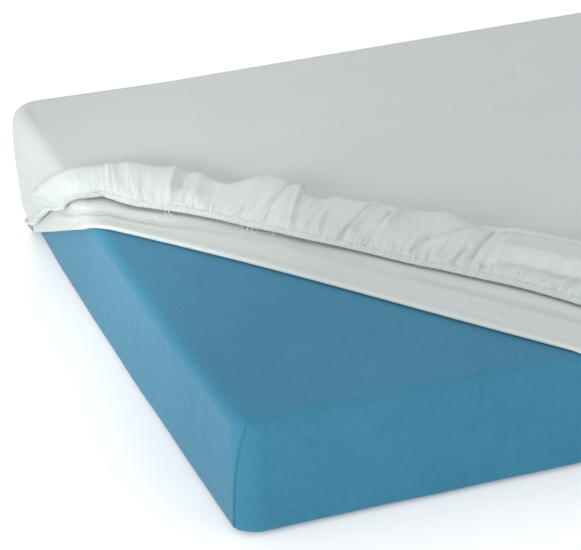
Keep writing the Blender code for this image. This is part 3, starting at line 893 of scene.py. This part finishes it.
# %% Gathers from the elastic
# Each row: lean along the hem, pitch, seed, depth, length, sharpness and the share of the depth left at the hem
GATHERS = (
    (0.0, 0.0065, 11, 0.0021, 0.017, 1.5, 0.35),
    (0.06, 0.0130, 23, 0.0036, 0.032, 1.8, 0.12),
    (-0.10, 0.0340, 37, 0.0040, 0.062, 1.6, 0.0),
)
# Each gather's width, height and length are drawn between these shares of the row's own.
GATHER_WIDTHS, GATHER_HEIGHTS, GATHER_LENGTHS = (0.55, 1.45), (0.35, 1.0), (0.5, 1.5)
RIDGE_TOP, RIDGE_FLOOR = 1.35, 0.5
THIN_CREST, CREST_RANGE = 0.009, 0.025  # the gathers are lower where the roll is thin


def shuffled(seed, count, low, high):
    return np.random.default_rng(seed).uniform(low, high, count)


def gathers(run, distance, pitch, seed, depth, length, sharp, at_hem):
    """Ridges across the hem, each with its own width, height and length; at the hem they have a share `at_hem`."""
    count = int(run.max() / pitch) + 4
    edges = np.cumsum(shuffled(seed, count, *GATHER_WIDTHS) * pitch)
    gather = np.clip(np.searchsorted(edges, run), 1, count - 1)
    width = edges[gather] - edges[gather - 1]
    share = (run - edges[gather - 1]) / width
    near_low = share < 0.5
    index = np.where(near_low, gather - 1, gather)
    tall = shuffled(seed + 1, count + 1, *GATHER_HEIGHTS)[index]
    reach = shuffled(seed + 2, count + 1, *GATHER_LENGTHS)[index] * length
    off_ridge = np.minimum(share, 1 - share) * 2
    ridge = (1 - off_ridge) ** sharp * RIDGE_TOP - RIDGE_FLOOR
    fade = np.exp(-((distance / reach) ** 1.6)) * blend(at_hem, 1.0, ease(distance / (0.4 * length)))
    return depth * tall * ridge * fade * np.clip(width / pitch, 0.5, 1.2)


run_grid = np.repeat(hem_run[:, None], cloth.shape[1], axis=1)
heave = np.zeros(cloth.shape[:2])
for lean, *sizes in GATHERS:
    heave += gathers(run_grid + lean * to_hem, to_hem, *sizes)
crest_here = np.array([roll_at(p)["crest"] if p < OUTSIDE else 0.0 for p in cloth_place])
full_roll = np.clip((crest_here - THIN_CREST) / CREST_RANGE, 0, 1)[:, None]
heave *= is_slope * full_roll
print("gathers reach", round(float(heave.max()) * 1000, 2), "mm high")

# %% Creases listed in a table
# Each row is a crease on the roll: where it starts and ends, as a place along the fold and a share of the way from
# the hem to the roll's back, then its half-width and height. A negative height is a trough.
CREASES = (
    (-0.064, 0.35, -0.022, 0.62, 0.0080, 0.0056),
    (-0.022, 0.62, 0.038, 0.86, 0.0090, 0.0044),
    (-0.097, 0.45, -0.052, 0.52, 0.0070, -0.0063),
    (-0.142, 0.40, -0.102, 0.85, 0.0060, 0.0044),
    (0.101, 0.12, 0.106, 0.92, 0.0035, 0.0050),
    (0.111, 0.30, 0.116, 0.90, 0.0065, -0.0037),
    (0.120, 0.10, 0.126, 0.55, 0.0030, 0.0028),
    (0.134, 0.62, 0.150, 0.84, 0.0070, -0.0075),
    (0.168, 0.05, 0.166, 0.70, 0.0028, -0.0040),
    (0.174, 0.08, 0.171, 0.72, 0.0040, 0.0032),
    (0.203, 0.05, 0.200, 0.34, 0.0028, -0.0037),
    (0.200, 0.34, 0.204, 0.80, 0.0036, -0.0042),
    (0.238, 0.06, 0.215, 0.78, 0.0028, 0.0052),
    (0.212, 0.84, 0.248, 0.93, 0.0040, 0.0045),
    (0.222, 0.78, 0.256, 0.74, 0.0080, -0.0060),
    (0.276, 0.04, 0.268, 0.40, 0.0026, 0.0037),
    (0.307, 0.05, 0.313, 0.74, 0.0030, -0.0045),
    (0.315, 0.10, 0.322, 0.80, 0.0050, 0.0045),
    (0.312, 0.74, 0.326, 0.90, 0.0036, 0.0045),
    (0.342, 0.04, 0.346, 0.58, 0.0028, -0.0042),
    (0.346, 0.58, 0.358, 0.84, 0.0040, -0.0030),
    (0.352, 0.30, 0.364, 0.94, 0.0050, 0.0040),
    (0.402, 0.08, 0.411, 0.34, 0.0030, -0.0037),
    (0.411, 0.34, 0.454, 0.74, 0.0040, -0.0050),
    (0.422, 0.26, 0.460, 0.62, 0.0060, 0.0037),
    (0.455, 0.06, 0.465, 0.32, 0.0024, -0.0042),
    (0.477, 0.16, 0.479, 0.66, 0.0030, -0.0050),
    (0.479, 0.66, 0.520, 0.68, 0.0040, -0.0030),
    (0.520, 0.68, 0.598, 0.74, 0.0040, -0.0025),
    (0.486, 0.20, 0.492, 0.60, 0.0060, 0.0042),
    (0.495, 0.10, 0.528, 0.22, 0.0040, -0.0042),
    (0.528, 0.22, 0.628, 0.27, 0.0060, -0.0065),
    (0.508, 0.36, 0.628, 0.46, 0.0140, 0.0063),
    (0.553, 0.02, 0.560, 0.16, 0.0028, 0.0028),
    (0.574, 0.02, 0.582, 0.18, 0.0028, 0.0030),
    (0.598, 0.02, 0.604, 0.18, 0.0028, 0.0025),
)
DEPTH_OF_ROLL = 0.105  # the roll's length from hem to back, for measuring distances to a crease
CREASE_GAIN, CREASE_CUSP = 1.2, 1.1  # the cusp's height against the row's own, and its power: 1 is sharp, 2 soft
CREASE_FADE, CREASE_OVERRUN = 0.25, 0.6  # a crease fades over this share of its length, partly past its end
AT_CREST, CREST_FADE = 0.1, 0.34  # at the crest a crease keeps this share of its height; it loses it over the next


def crease_field(place, share, row):
    """The height that one crease gives to every point: a soft cusp that fades at both ends."""
    ax, ay, bx, by, width, height = row
    ay, by = ay * DEPTH_OF_ROLL, by * DEPTH_OF_ROLL
    px, py = place, share * DEPTH_OF_ROLL
    length = math.hypot(bx - ax, by - ay)
    ux, uy = (bx - ax) / length, (by - ay) / length
    run = (px - ax) * ux + (py - ay) * uy
    off = np.abs((px - ax) * uy - (py - ay) * ux)
    ends = [ease(way / (CREASE_FADE * length) + CREASE_OVERRUN) for way in (run, length - run)]
    below_crest = blend(AT_CREST, 1.0, ease((1.0 - share) / CREST_FADE))
    return height * CREASE_GAIN * np.exp(-((off / width) ** CREASE_CUSP)) * (ends[0] * ends[1]) * below_crest


place_grid = np.repeat(cloth_place[:, None], cloth.shape[1], axis=1)
for row in CREASES:
    heave += crease_field(place_grid, back_share, row) * is_slope
print(len(CREASES), "creases placed")

# %% Broad heaves of the roll, and the tube and creases of the strip in front of it
# Each wave: its height, radians for each metre along the fold, radians from hem to back, and where it begins
LOBES = ((0.0012, 74, 2.1, 0.0), (0.0004, 131, -3.4, 1.0), (0.0010, 47, 6.0, 2.2))
LOBE_MIDDLE, LOBE_REACH = 0.28, 0.70  # the lobes fade out this far from this place along the fold
lobes = sum(height * np.sin(place_grid * a + back_share * b + start) for height, a, b, start in LOBES)
heave += lobes * is_slope * ease(back_share * 2.2) * ease((LOBE_REACH - np.abs(place_grid - LOBE_MIDDLE)) * 6)

# The strip is the second layer, from the taut fold back to the roll. Each row: place along the fold, how far
# behind the fold the soft tube under the gathered edge begins, and how high it stands.
TUBE = (
    (-0.310, 0.002, 0.0000),
    (-0.225, 0.010, 0.0012),
    (-0.145, 0.024, 0.0026),
    (-0.090, 0.030, 0.0032),
    (-0.010, 0.032, 0.0034),
    (0.048, 0.028, 0.0030),
    (0.098, 0.030, 0.0024),
    (0.128, 0.038, 0.0018),
    (0.178, 0.045, 0.0013),
    (0.241, 0.053, 0.0010),
    (0.308, 0.051, 0.0012),
    (0.382, 0.047, 0.0018),
    (0.430, 0.054, 0.0026),
    (0.534, 0.057, 0.0036),
    (0.642, 0.068, 0.0038),
    (0.710, 0.062, 0.0030),
    (0.810, 0.026, 0.0014),
    (0.945, 0.002, 0.0000),
)
TUBE_WIDTH = 0.030
VALLEY_SHARE, VALLEY_WIDTH = 0.25, 0.0025  # the valley in front of the tube, as a share of its height
STRIP_PLAY, STRIP_PLAY_AT = 0.0018, 0.024  # the strip lies this loose from so far behind the fold
# The strip's own creases, as on the roll, but with lengths behind the fold in place of the shares
STRIP_CREASES = (
    (0.505, 0.034, 0.563, 0.022, 0.0030, -0.0014),
    (0.563, 0.022, 0.640, 0.024, 0.0040, -0.0010),
    (0.075, 0.036, 0.088, 0.056, 0.0024, 0.0022),
    (-0.060, 0.010, -0.020, 0.026, 0.0040, 0.0018),
)
fold_to = lengths_along(cloth)
behind_fold = fold_to - fold_to[:, FIRST + FOLD_STEPS - 1 : FIRST + FOLD_STEPS]
is_strip = np.zeros(cloth.shape[:2], dtype=bool)
is_strip[on_roll, FIRST + FOLD_STEPS : BACK_END] = True
tube_places, tube_starts, tube_heights = np.array(TUBE).T
tube_start = np.interp(place_grid, tube_places, tube_starts)
tube_height = np.interp(place_grid, tube_places, tube_heights)
strip_heave = tube_height * np.sin(np.pi * np.clip((behind_fold - tube_start) / TUBE_WIDTH, 0, 1)) ** 0.8
strip_heave -= VALLEY_SHARE * tube_height * np.exp(-np.abs(behind_fold - tube_start) / VALLEY_WIDTH)
for start, low, end, high, *sizes in STRIP_CREASES:
    scaled = (start, low / DEPTH_OF_ROLL, end, high / DEPTH_OF_ROLL, *sizes)
    strip_heave += crease_field(place_grid, behind_fold / DEPTH_OF_ROLL, scaled)
strip_heave += STRIP_PLAY * ease(behind_fold / STRIP_PLAY_AT)
# The strip stays down next to the taut fold and where the roll lies on it.
room = ease(behind_fold / 0.012) * ease((fold_to[:, BACK_END : BACK_END + 1] - fold_to) / 0.02)
heave += strip_heave * is_strip * room

# Down the end and the front the roll narrows, and its folds run together like strands.
STRAND_HEIGHT, STRAND_COUNT = 0.0024, 2.6
END_NARROWS, FRONT_NARROWS = (-0.10, 0.12), (0.78, 0.10)  # where along the fold, and over how much
strands = np.sin(2 * np.pi * (back_share * STRAND_COUNT + 0.12 * np.sin(place_grid * 40)))
narrowing = ease((END_NARROWS[0] - place_grid) / END_NARROWS[1])
narrowing += ease((place_grid - FRONT_NARROWS[0]) / FRONT_NARROWS[1])
heave += STRAND_HEIGHT * strands * np.clip(narrowing, 0, 1) * is_slope * ease(back_share / 0.1) * full_roll
print("the strip's tube stands up to", float(tube_heights.max()) * 1000, "mm high")

# %% Puckers where the elastic draws in the covered corners
CORNER_FULLNESS = 0.0100  # how far the sheet stands off the mattress's corners half-way down
CORNER_REACH = 0.15
PUCKER_HEIGHT = 0.0011
PUCKER_RUN = 0.10  # the puckers reach their full height this far below the top edge
low_share = np.zeros(cloth.shape[:2])
side_first = 2 + TURN_STEPS
low_share[:, side_first:] = ease((fold_to[:, side_first:] - fold_to[:, side_first : side_first + 1]) / PUCKER_RUN)
round_corner = np.zeros(len(cloth))
rim = cloth[:, side_first]
for corner_x, corner_y in ((0.0, WIDTH), (LENGTH, WIDTH), (LENGTH, 0.0)):
    near = np.hypot(rim[:, 0] - corner_x, rim[:, 1] - corner_y)
    round_corner = np.maximum(round_corner, 1 - ease(near / CORNER_REACH))
rim_run = lengths_along(rim)
pucker = np.sin(rim_run[:, None] * 330 + 0.7 * np.sin(rim_run[:, None] * 90)) * 0.5 + 0.5
heave += np.where(on_roll[:, None], 0, pucker * PUCKER_HEIGHT * low_share * round_corner[:, None])
side_share = np.clip((fold_to - fold_to[:, 1:2]) / (TOP_TURN + HEIGHT - TOP_RADIUS), 0, 1)
full_side = np.sin(np.pi * side_share**0.55) ** 1.3
heave += CORNER_FULLNESS * full_side * round_corner[:, None] * ~on_roll[:, None]
heave[:, :2] = 0.0
cloth = cloth + outward * heave[..., None]
cloth[..., 2] = np.maximum(cloth[..., 2], CLOTH / 2 + 0.0001)  # nothing goes through the floor
print("largest move of the cloth", round(float(np.abs(heave).max()) * 1000, 1), "mm")

# %% [markdown]
# ## Joining the sections into one sheet
# The flat panel is a single face, and each pair of neighbouring sections is joined by a strip of quads. Solidify
# then gives the cloth its thickness. The UV map is the cloth laid flat, in metres: past the slanting fold the
# cloth would simply run on over the bare corner if it were unfolded.


# %% Make the sheet
def flat_cloth_map(points):
    """The place of each point on the cloth laid flat."""
    rim = points[:, 0, :2]
    first = points[:, 1, :2] - rim
    return rim[:, None, :] + unit(first)[:, None, :] * lengths_along(points)[..., None]


def make_sheet(points):
    count, width = points.shape[:2]
    faces = [tuple(i * width for i in range(count))] + quads(count, width, True, False)
    hem_map = np.stack([run_grid, np.where(is_slope, to_hem, OFF_ROLL)], axis=2)
    shape = mesh_object("bed_sheet", placed(points), faces, cloth=flat_cloth_map(points), hem=hem_map)
    faces_outward(shape)
    thickness = shape.modifiers.new("thickness", "SOLIDIFY")
    thickness.thickness = CLOTH
    thickness.offset = 0.0
    thickness.use_rim = True
    shape.data.materials.append(COTTON)
    return shape


sheet = make_sheet(cloth)
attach(sheet, "root")
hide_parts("sheet")
print("sheet:", len(sheet.data.polygons), "faces before thickness")

# %% [markdown]
# ## The elastic edge
# The edge of the sheet is overlocked round a narrow elastic. The elastic is a flat band a little under a
# centimetre wide. It follows the hem, hangs in line with the cloth above it, and ripples where the gathers push
# it. A swept oval gives it a rounded edge, which a flat strip would lack.

# %% Follow the hem
BAND_STEP = 0.0013
BAND_HIDDEN_STEP = 0.008
BAND_SIDES = 10
HIDDEN_THICKNESS = 0.0012  # the elastic pressed flat under the mattress
BAND_LAP = 0.0016  # how far the band comes up over the cloth's edge
RIPPLE_PITCH = 0.0046
RIPPLE_HEIGHT = 0.00042
BAND_PROUD = 0.0003
HEM_SMOOTHING = 9  # the band's directions are a mean of this many sections
FLOOR_ROOM = 0.0009  # keeps the band and its stitches off the floor
BAND_FLOOR = 0.0004
BAND_OVAL = (0.55, 0.8)  # powers that square the oval's outline: 1 and 1 would make an ellipse


def smooth_loop(values, width):
    """A moving mean round a closed loop."""
    kernel = np.ones(width) / width
    padded = np.concatenate([values[-width:], values, values[:width]])
    mean = np.stack([np.convolve(padded[:, k], kernel, mode="same") for k in range(values.shape[1])], axis=1)
    return mean[width:-width]


hem = cloth[:, -1]
hem_way = unit(smooth_loop(unit(cloth[:, -1] - cloth[:, -3]), HEM_SMOOTHING))
hem_out = unit(smooth_loop(outward[:, -1], HEM_SMOOTHING))
closed_run = lengths_along(np.concatenate([hem, hem[:1]]))
wrapped_roll = np.concatenate([on_roll, on_roll[:1]]).astype(float)


def sample_loop(values, at):
    values = np.concatenate([values, values[:1]])
    return np.stack([np.interp(at, closed_run, values[:, k]) for k in range(values.shape[1])], axis=1)


def band_marks():
    """Distances round the hem, close together along the roll and further apart where the band is hidden."""
    marks = [0.0]
    while marks[-1] < closed_run[-1] - BAND_HIDDEN_STEP:
        seen = np.interp(marks[-1], closed_run, wrapped_roll) > 0.01
        marks.append(marks[-1] + (BAND_STEP if seen else BAND_HIDDEN_STEP))
    return np.array(marks)


marks = band_marks()
print("band sampled at", len(marks), "places over", round(float(closed_run[-1]), 2), "m")

# %% Sweep the band
line = sample_loop(hem, marks)
way = unit(sample_loop(hem_way, marks))
out = unit(sample_loop(hem_out, marks))
out = unit(out - way * np.sum(out * way, axis=1, keepdims=True))
on_show = np.interp(marks, closed_run, wrapped_roll)  # 1 along the roll and 0 under the mattress
ripple = RIPPLE_HEIGHT * np.sin(2 * np.pi * marks / RIPPLE_PITCH + 1.6 * np.sin(marks * 61)) * on_show
centre_line = line + way * (ELASTIC_WIDTH / 2 - BAND_LAP) + out * (ripple + BAND_PROUD)[:, None]
thickness_here = blend(HIDDEN_THICKNESS, ELASTIC_THICKNESS, ease(on_show))
half_depth = np.abs(way[:, 2]) * ELASTIC_WIDTH / 2 + np.abs(out[:, 2]) * thickness_here / 2
centre_line[:, 2] = np.maximum(centre_line[:, 2], half_depth + FLOOR_ROOM)


def sweep_band(centres, across, thick, half_width, half_thickness):
    """A squared oval swept along a line."""
    rings = []
    for angle in np.arange(BAND_SIDES) / BAND_SIDES * 2 * np.pi:
        flat = math.copysign(abs(math.cos(angle)) ** BAND_OVAL[0], math.cos(angle)) * half_width
        full = math.copysign(abs(math.sin(angle)) ** BAND_OVAL[1], math.sin(angle)) * half_thickness
        rings.append(centres + across * flat + thick * full[:, None])
    return np.stack(rings, axis=1)


band_points = sweep_band(centre_line, way, out, ELASTIC_WIDTH / 2, thickness_here / 2)
band_points[..., 2] = np.maximum(band_points[..., 2], BAND_FLOOR)
band = mesh_object("elastic_band", placed(band_points), quads(len(marks), BAND_SIDES, True, True))
faces_outward(band)
band.data.materials.append(ELASTIC)
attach(band, "root")
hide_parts("elastic_edge")
print("elastic band:", len(band.data.polygons), "faces")

# %% [markdown]
# ## Overlock stitches
# An overlocker throws a thread over the edge at every stitch, two or three millimetres apart, so the band shows a
# ladder of little ribs. One short bent thread repeated along a curve is just what Geometry Nodes are for: the
# curve is resampled at the stitch pitch, a thread is put on each point, and its turn comes from two directions
# kept on the curve.

# %% One thread of the ladder
STITCH_PITCH = 0.0023
THREAD_RADIUS = 0.00050
HIDDEN_THREAD_RADIUS = 0.00025
STITCH_SLANT = 0.0007
THREAD_SIDES = 4


def thread_tube(path, radius, hint, rings, faces):
    """Adds a square tube along a path to lists of points and faces; `hint` is a direction it never runs in."""
    start = len(rings)
    for i, point in enumerate(path):
        heading = unit(path[min(i + 1, len(path) - 1)] - path[max(i - 1, 0)])
        side = unit(np.cross(heading, hint))
        other = np.cross(heading, side)
        for angle in (0.0, np.pi / 2, np.pi, 3 * np.pi / 2):
            rings.append(point + (side * math.cos(angle) + other * math.sin(angle)) * radius)
    faces.append(tuple(range(start + THREAD_SIDES - 1, start - 1, -1)))
    faces.append(tuple(range(len(rings) - THREAD_SIDES, len(rings))))
    faces += quads(len(path), THREAD_SIDES, False, True, start)


def make_stitch(thickness, radius):
    """A thread bent over the band: X runs along the edge, Y across the band, Z out of it."""
    half_width = ELASTIC_WIDTH / 2
    rise = thickness / 2
    path = [
        (-STITCH_SLANT, -half_width - 0.0014, rise * 0.1),
        (-STITCH_SLANT * 0.7, -half_width * 0.70, rise * 1.10),
        (0.0, 0.0, rise * 1.22),
        (STITCH_SLANT * 0.7, half_width * 0.75, rise * 1.05),
        (STITCH_SLANT, half_width + 0.0004, 0.0),
        (STITCH_SLANT, half_width * 0.8, -rise * 0.9),
    ]
    rings, faces = [], []
    thread_tube(np.array(path), radius, (1.0, 0.0, 0.001), rings, faces)
    shape = mesh_object("one_stitch", rings, faces)
    faces_outward(shape)
    return shape


one_stitch = make_stitch(ELASTIC_THICKNESS, THREAD_RADIUS)
flat_stitch = make_stitch(HIDDEN_THICKNESS, HIDDEN_THREAD_RADIUS)
print("one stitch has", len(one_stitch.data.polygons), "faces")


# %% The node tree that repeats it
STITCH_INPUTS = {"Geometry": "Geometry", "Stitch": "Object", "Pitch": "Float", "Uneven": "Float", "Seed": "Int"}
UNEVEN = 0.08
STITCH_SEED = 5


def stitch_tree(material):
    tree = bpy.data.node_groups.new("overlock_ladder", "GeometryNodeTree")
    tree.is_modifier = True
    for socket, kind in STITCH_INPUTS.items():
        tree.interface.new_socket(socket, in_out="INPUT", socket_type="NodeSocket" + kind)
    tree.interface.new_socket("Geometry", in_out="OUTPUT", socket_type="NodeSocketGeometry")
    entry = add_node(tree, "NodeGroupInput").outputs
    curve = add_node(tree, "GeometryNodeMeshToCurve")
    resample = add_node(tree, "GeometryNodeResampleCurve", mode="LENGTH")
    info = add_node(tree, "GeometryNodeObjectInfo")
    place = add_node(tree, "GeometryNodeInstanceOnPoints")
    directions = []
    for key in ("across", "proud"):
        node = add_node(tree, "GeometryNodeInputNamedAttribute", {"Name": key}, data_type="FLOAT_VECTOR")
        directions.append(node.outputs["Attribute"])
    across, proud = directions
    turn_z = add_node(tree, "FunctionNodeAlignRotationToVector", axis="Z")
    turn_y = add_node(tree, "FunctionNodeAlignRotationToVector", axis="Y", pivot_axis="Z")
    less = add_node(tree, "ShaderNodeMath", {0: 1.0}, operation="SUBTRACT")
    more = add_node(tree, "ShaderNodeMath", {0: 1.0}, operation="ADD")
    vary = add_node(tree, "FunctionNodeRandomValue", data_type="FLOAT")
    realize = add_node(tree, "GeometryNodeRealizeInstances")
    coloured = add_node(tree, "GeometryNodeSetMaterial", {"Material": material})
    leave = add_node(tree, "NodeGroupOutput")
    for output, node, socket in (
        (entry["Geometry"], curve, "Mesh"),
        (curve.outputs["Curve"], resample, "Curve"),
        (entry["Pitch"], resample, "Length"),
        (entry["Stitch"], info, "Object"),
        (resample.outputs["Curve"], place, "Points"),
        (info.outputs["Geometry"], place, "Instance"),
        (proud, turn_z, "Vector"),
        (turn_z.outputs["Rotation"], turn_y, "Rotation"),
        (across, turn_y, "Vector"),
        (turn_y.outputs["Rotation"], place, "Rotation"),
        (entry["Uneven"], less, 1),
        (entry["Uneven"], more, 1),
        (less.outputs[0], vary, 2),
        (more.outputs[0], vary, 3),
        (entry["Seed"], vary, "Seed"),
        (vary.outputs[1], place, "Scale"),
        (place.outputs["Instances"], realize, "Geometry"),
        (realize.outputs["Geometry"], coloured, "Geometry"),
        (coloured.outputs["Geometry"], leave, "Geometry"),
    ):
        tree.links.new(output, node.inputs[socket])
    return tree


def set_inputs(modifier, tree, **values):
    for item in tree.interface.items_tree:
        if item.in_out == "INPUT" and item.name in values:
            modifier[item.identifier] = values[item.name]


def grown(name, points, attributes, tree, **values):
    """Runs the tree along a line of points that carry directions, and keeps the result as a plain mesh."""
    mesh = bpy.data.meshes.new(name + "_line")
    mesh.from_pydata([tuple(p) for p in points], [(i, i + 1) for i in range(len(points) - 1)], [])
    for key, vectors in attributes.items():
        layer = mesh.attributes.new(key, "FLOAT_VECTOR", "POINT")
        layer.data.foreach_set("vector", vectors.astype(np.float32).ravel())
    line_object = bpy.data.objects.new(name + "_line", mesh)
    bpy.context.collection.objects.link(line_object)
    modifier = line_object.modifiers.new("repeat", "NODES")
    modifier.node_group = tree
    set_inputs(modifier, tree, **values)
    bpy.context.view_layer.update()
    evaluated = line_object.evaluated_get(bpy.context.evaluated_depsgraph_get())
    grown_mesh = bpy.data.meshes.new_from_object(evaluated)
    grown_mesh.name = name
    shape = bpy.data.objects.new(name, grown_mesh)
    bpy.context.collection.objects.link(shape)
    bpy.data.objects.remove(line_object)
    return shape


ladder = stitch_tree(OVERLOCK)
seen = on_show > 0.5
for name, chosen, stitch, pitch in (
    ("overlock_stitches", seen, one_stitch, STITCH_PITCH),
    ("overlock_under", ~seen, flat_stitch, STITCH_PITCH * 1.5),
):
    run = grown(
        name,
        placed(centre_line)[chosen],
        {"across": way[chosen], "proud": out[chosen]},
        ladder,
        Stitch=stitch,
        Pitch=pitch,
        Uneven=UNEVEN,
        Seed=STITCH_SEED,
    )
    run.data.shade_smooth()
    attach(run, "root")
    print(name, len(run.data.polygons), "faces")
bpy.data.objects.remove(one_stitch)
bpy.data.objects.remove(flat_stitch)

# %% Loose loops of thread under the band
LOOSE_RADIUS = 0.00045
LOOSE_STEPS = 10  # points for each loop
# Each row: place along the fold, loops, a loop's length along the band and how far it hangs below the band
LOOSE_THREADS = ((0.106, 2, 0.0065, 0.0036), (0.196, 3, 0.0075, 0.0050), (0.222, 1, 0.0060, 0.0030))


def loose_run(row):
    """The middle line of a thread that leaves the band's edge, hangs in loops and comes back."""
    place, loops, length, drop = row
    hem_index = int(np.argmin(np.abs(cloth_place - place)))
    runs = closed_run[hem_index] + np.linspace(0, loops * length, loops * LOOSE_STEPS + 1)
    hang = drop * np.abs(np.sin(np.linspace(0, loops * np.pi, len(runs)))) ** 0.7
    points = np.stack([np.interp(runs, marks, centre_line[:, k]) for k in range(3)], axis=1)
    ahead = np.stack([np.interp(runs, marks, way[:, k]) for k in range(3)], axis=1)
    points = points + ahead * (ELASTIC_WIDTH / 2 + hang)[:, None]
    points[:, 2] -= hang * 0.35
    return points


loose_rings, loose_faces = [], []
for row in LOOSE_THREADS:
    thread_tube(loose_run(row), LOOSE_RADIUS, (0.1, 0.2, 1.0), loose_rings, loose_faces)
loose = mesh_object("loose_threads", placed(np.array(loose_rings)), loose_faces)
faces_outward(loose)
# The loose threads share the thread's colour and its painted highlight.
loose.data.materials.append(OVERLOCK)
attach(loose, "root")
print("loose threads:", len(loose.data.polygons), "faces")
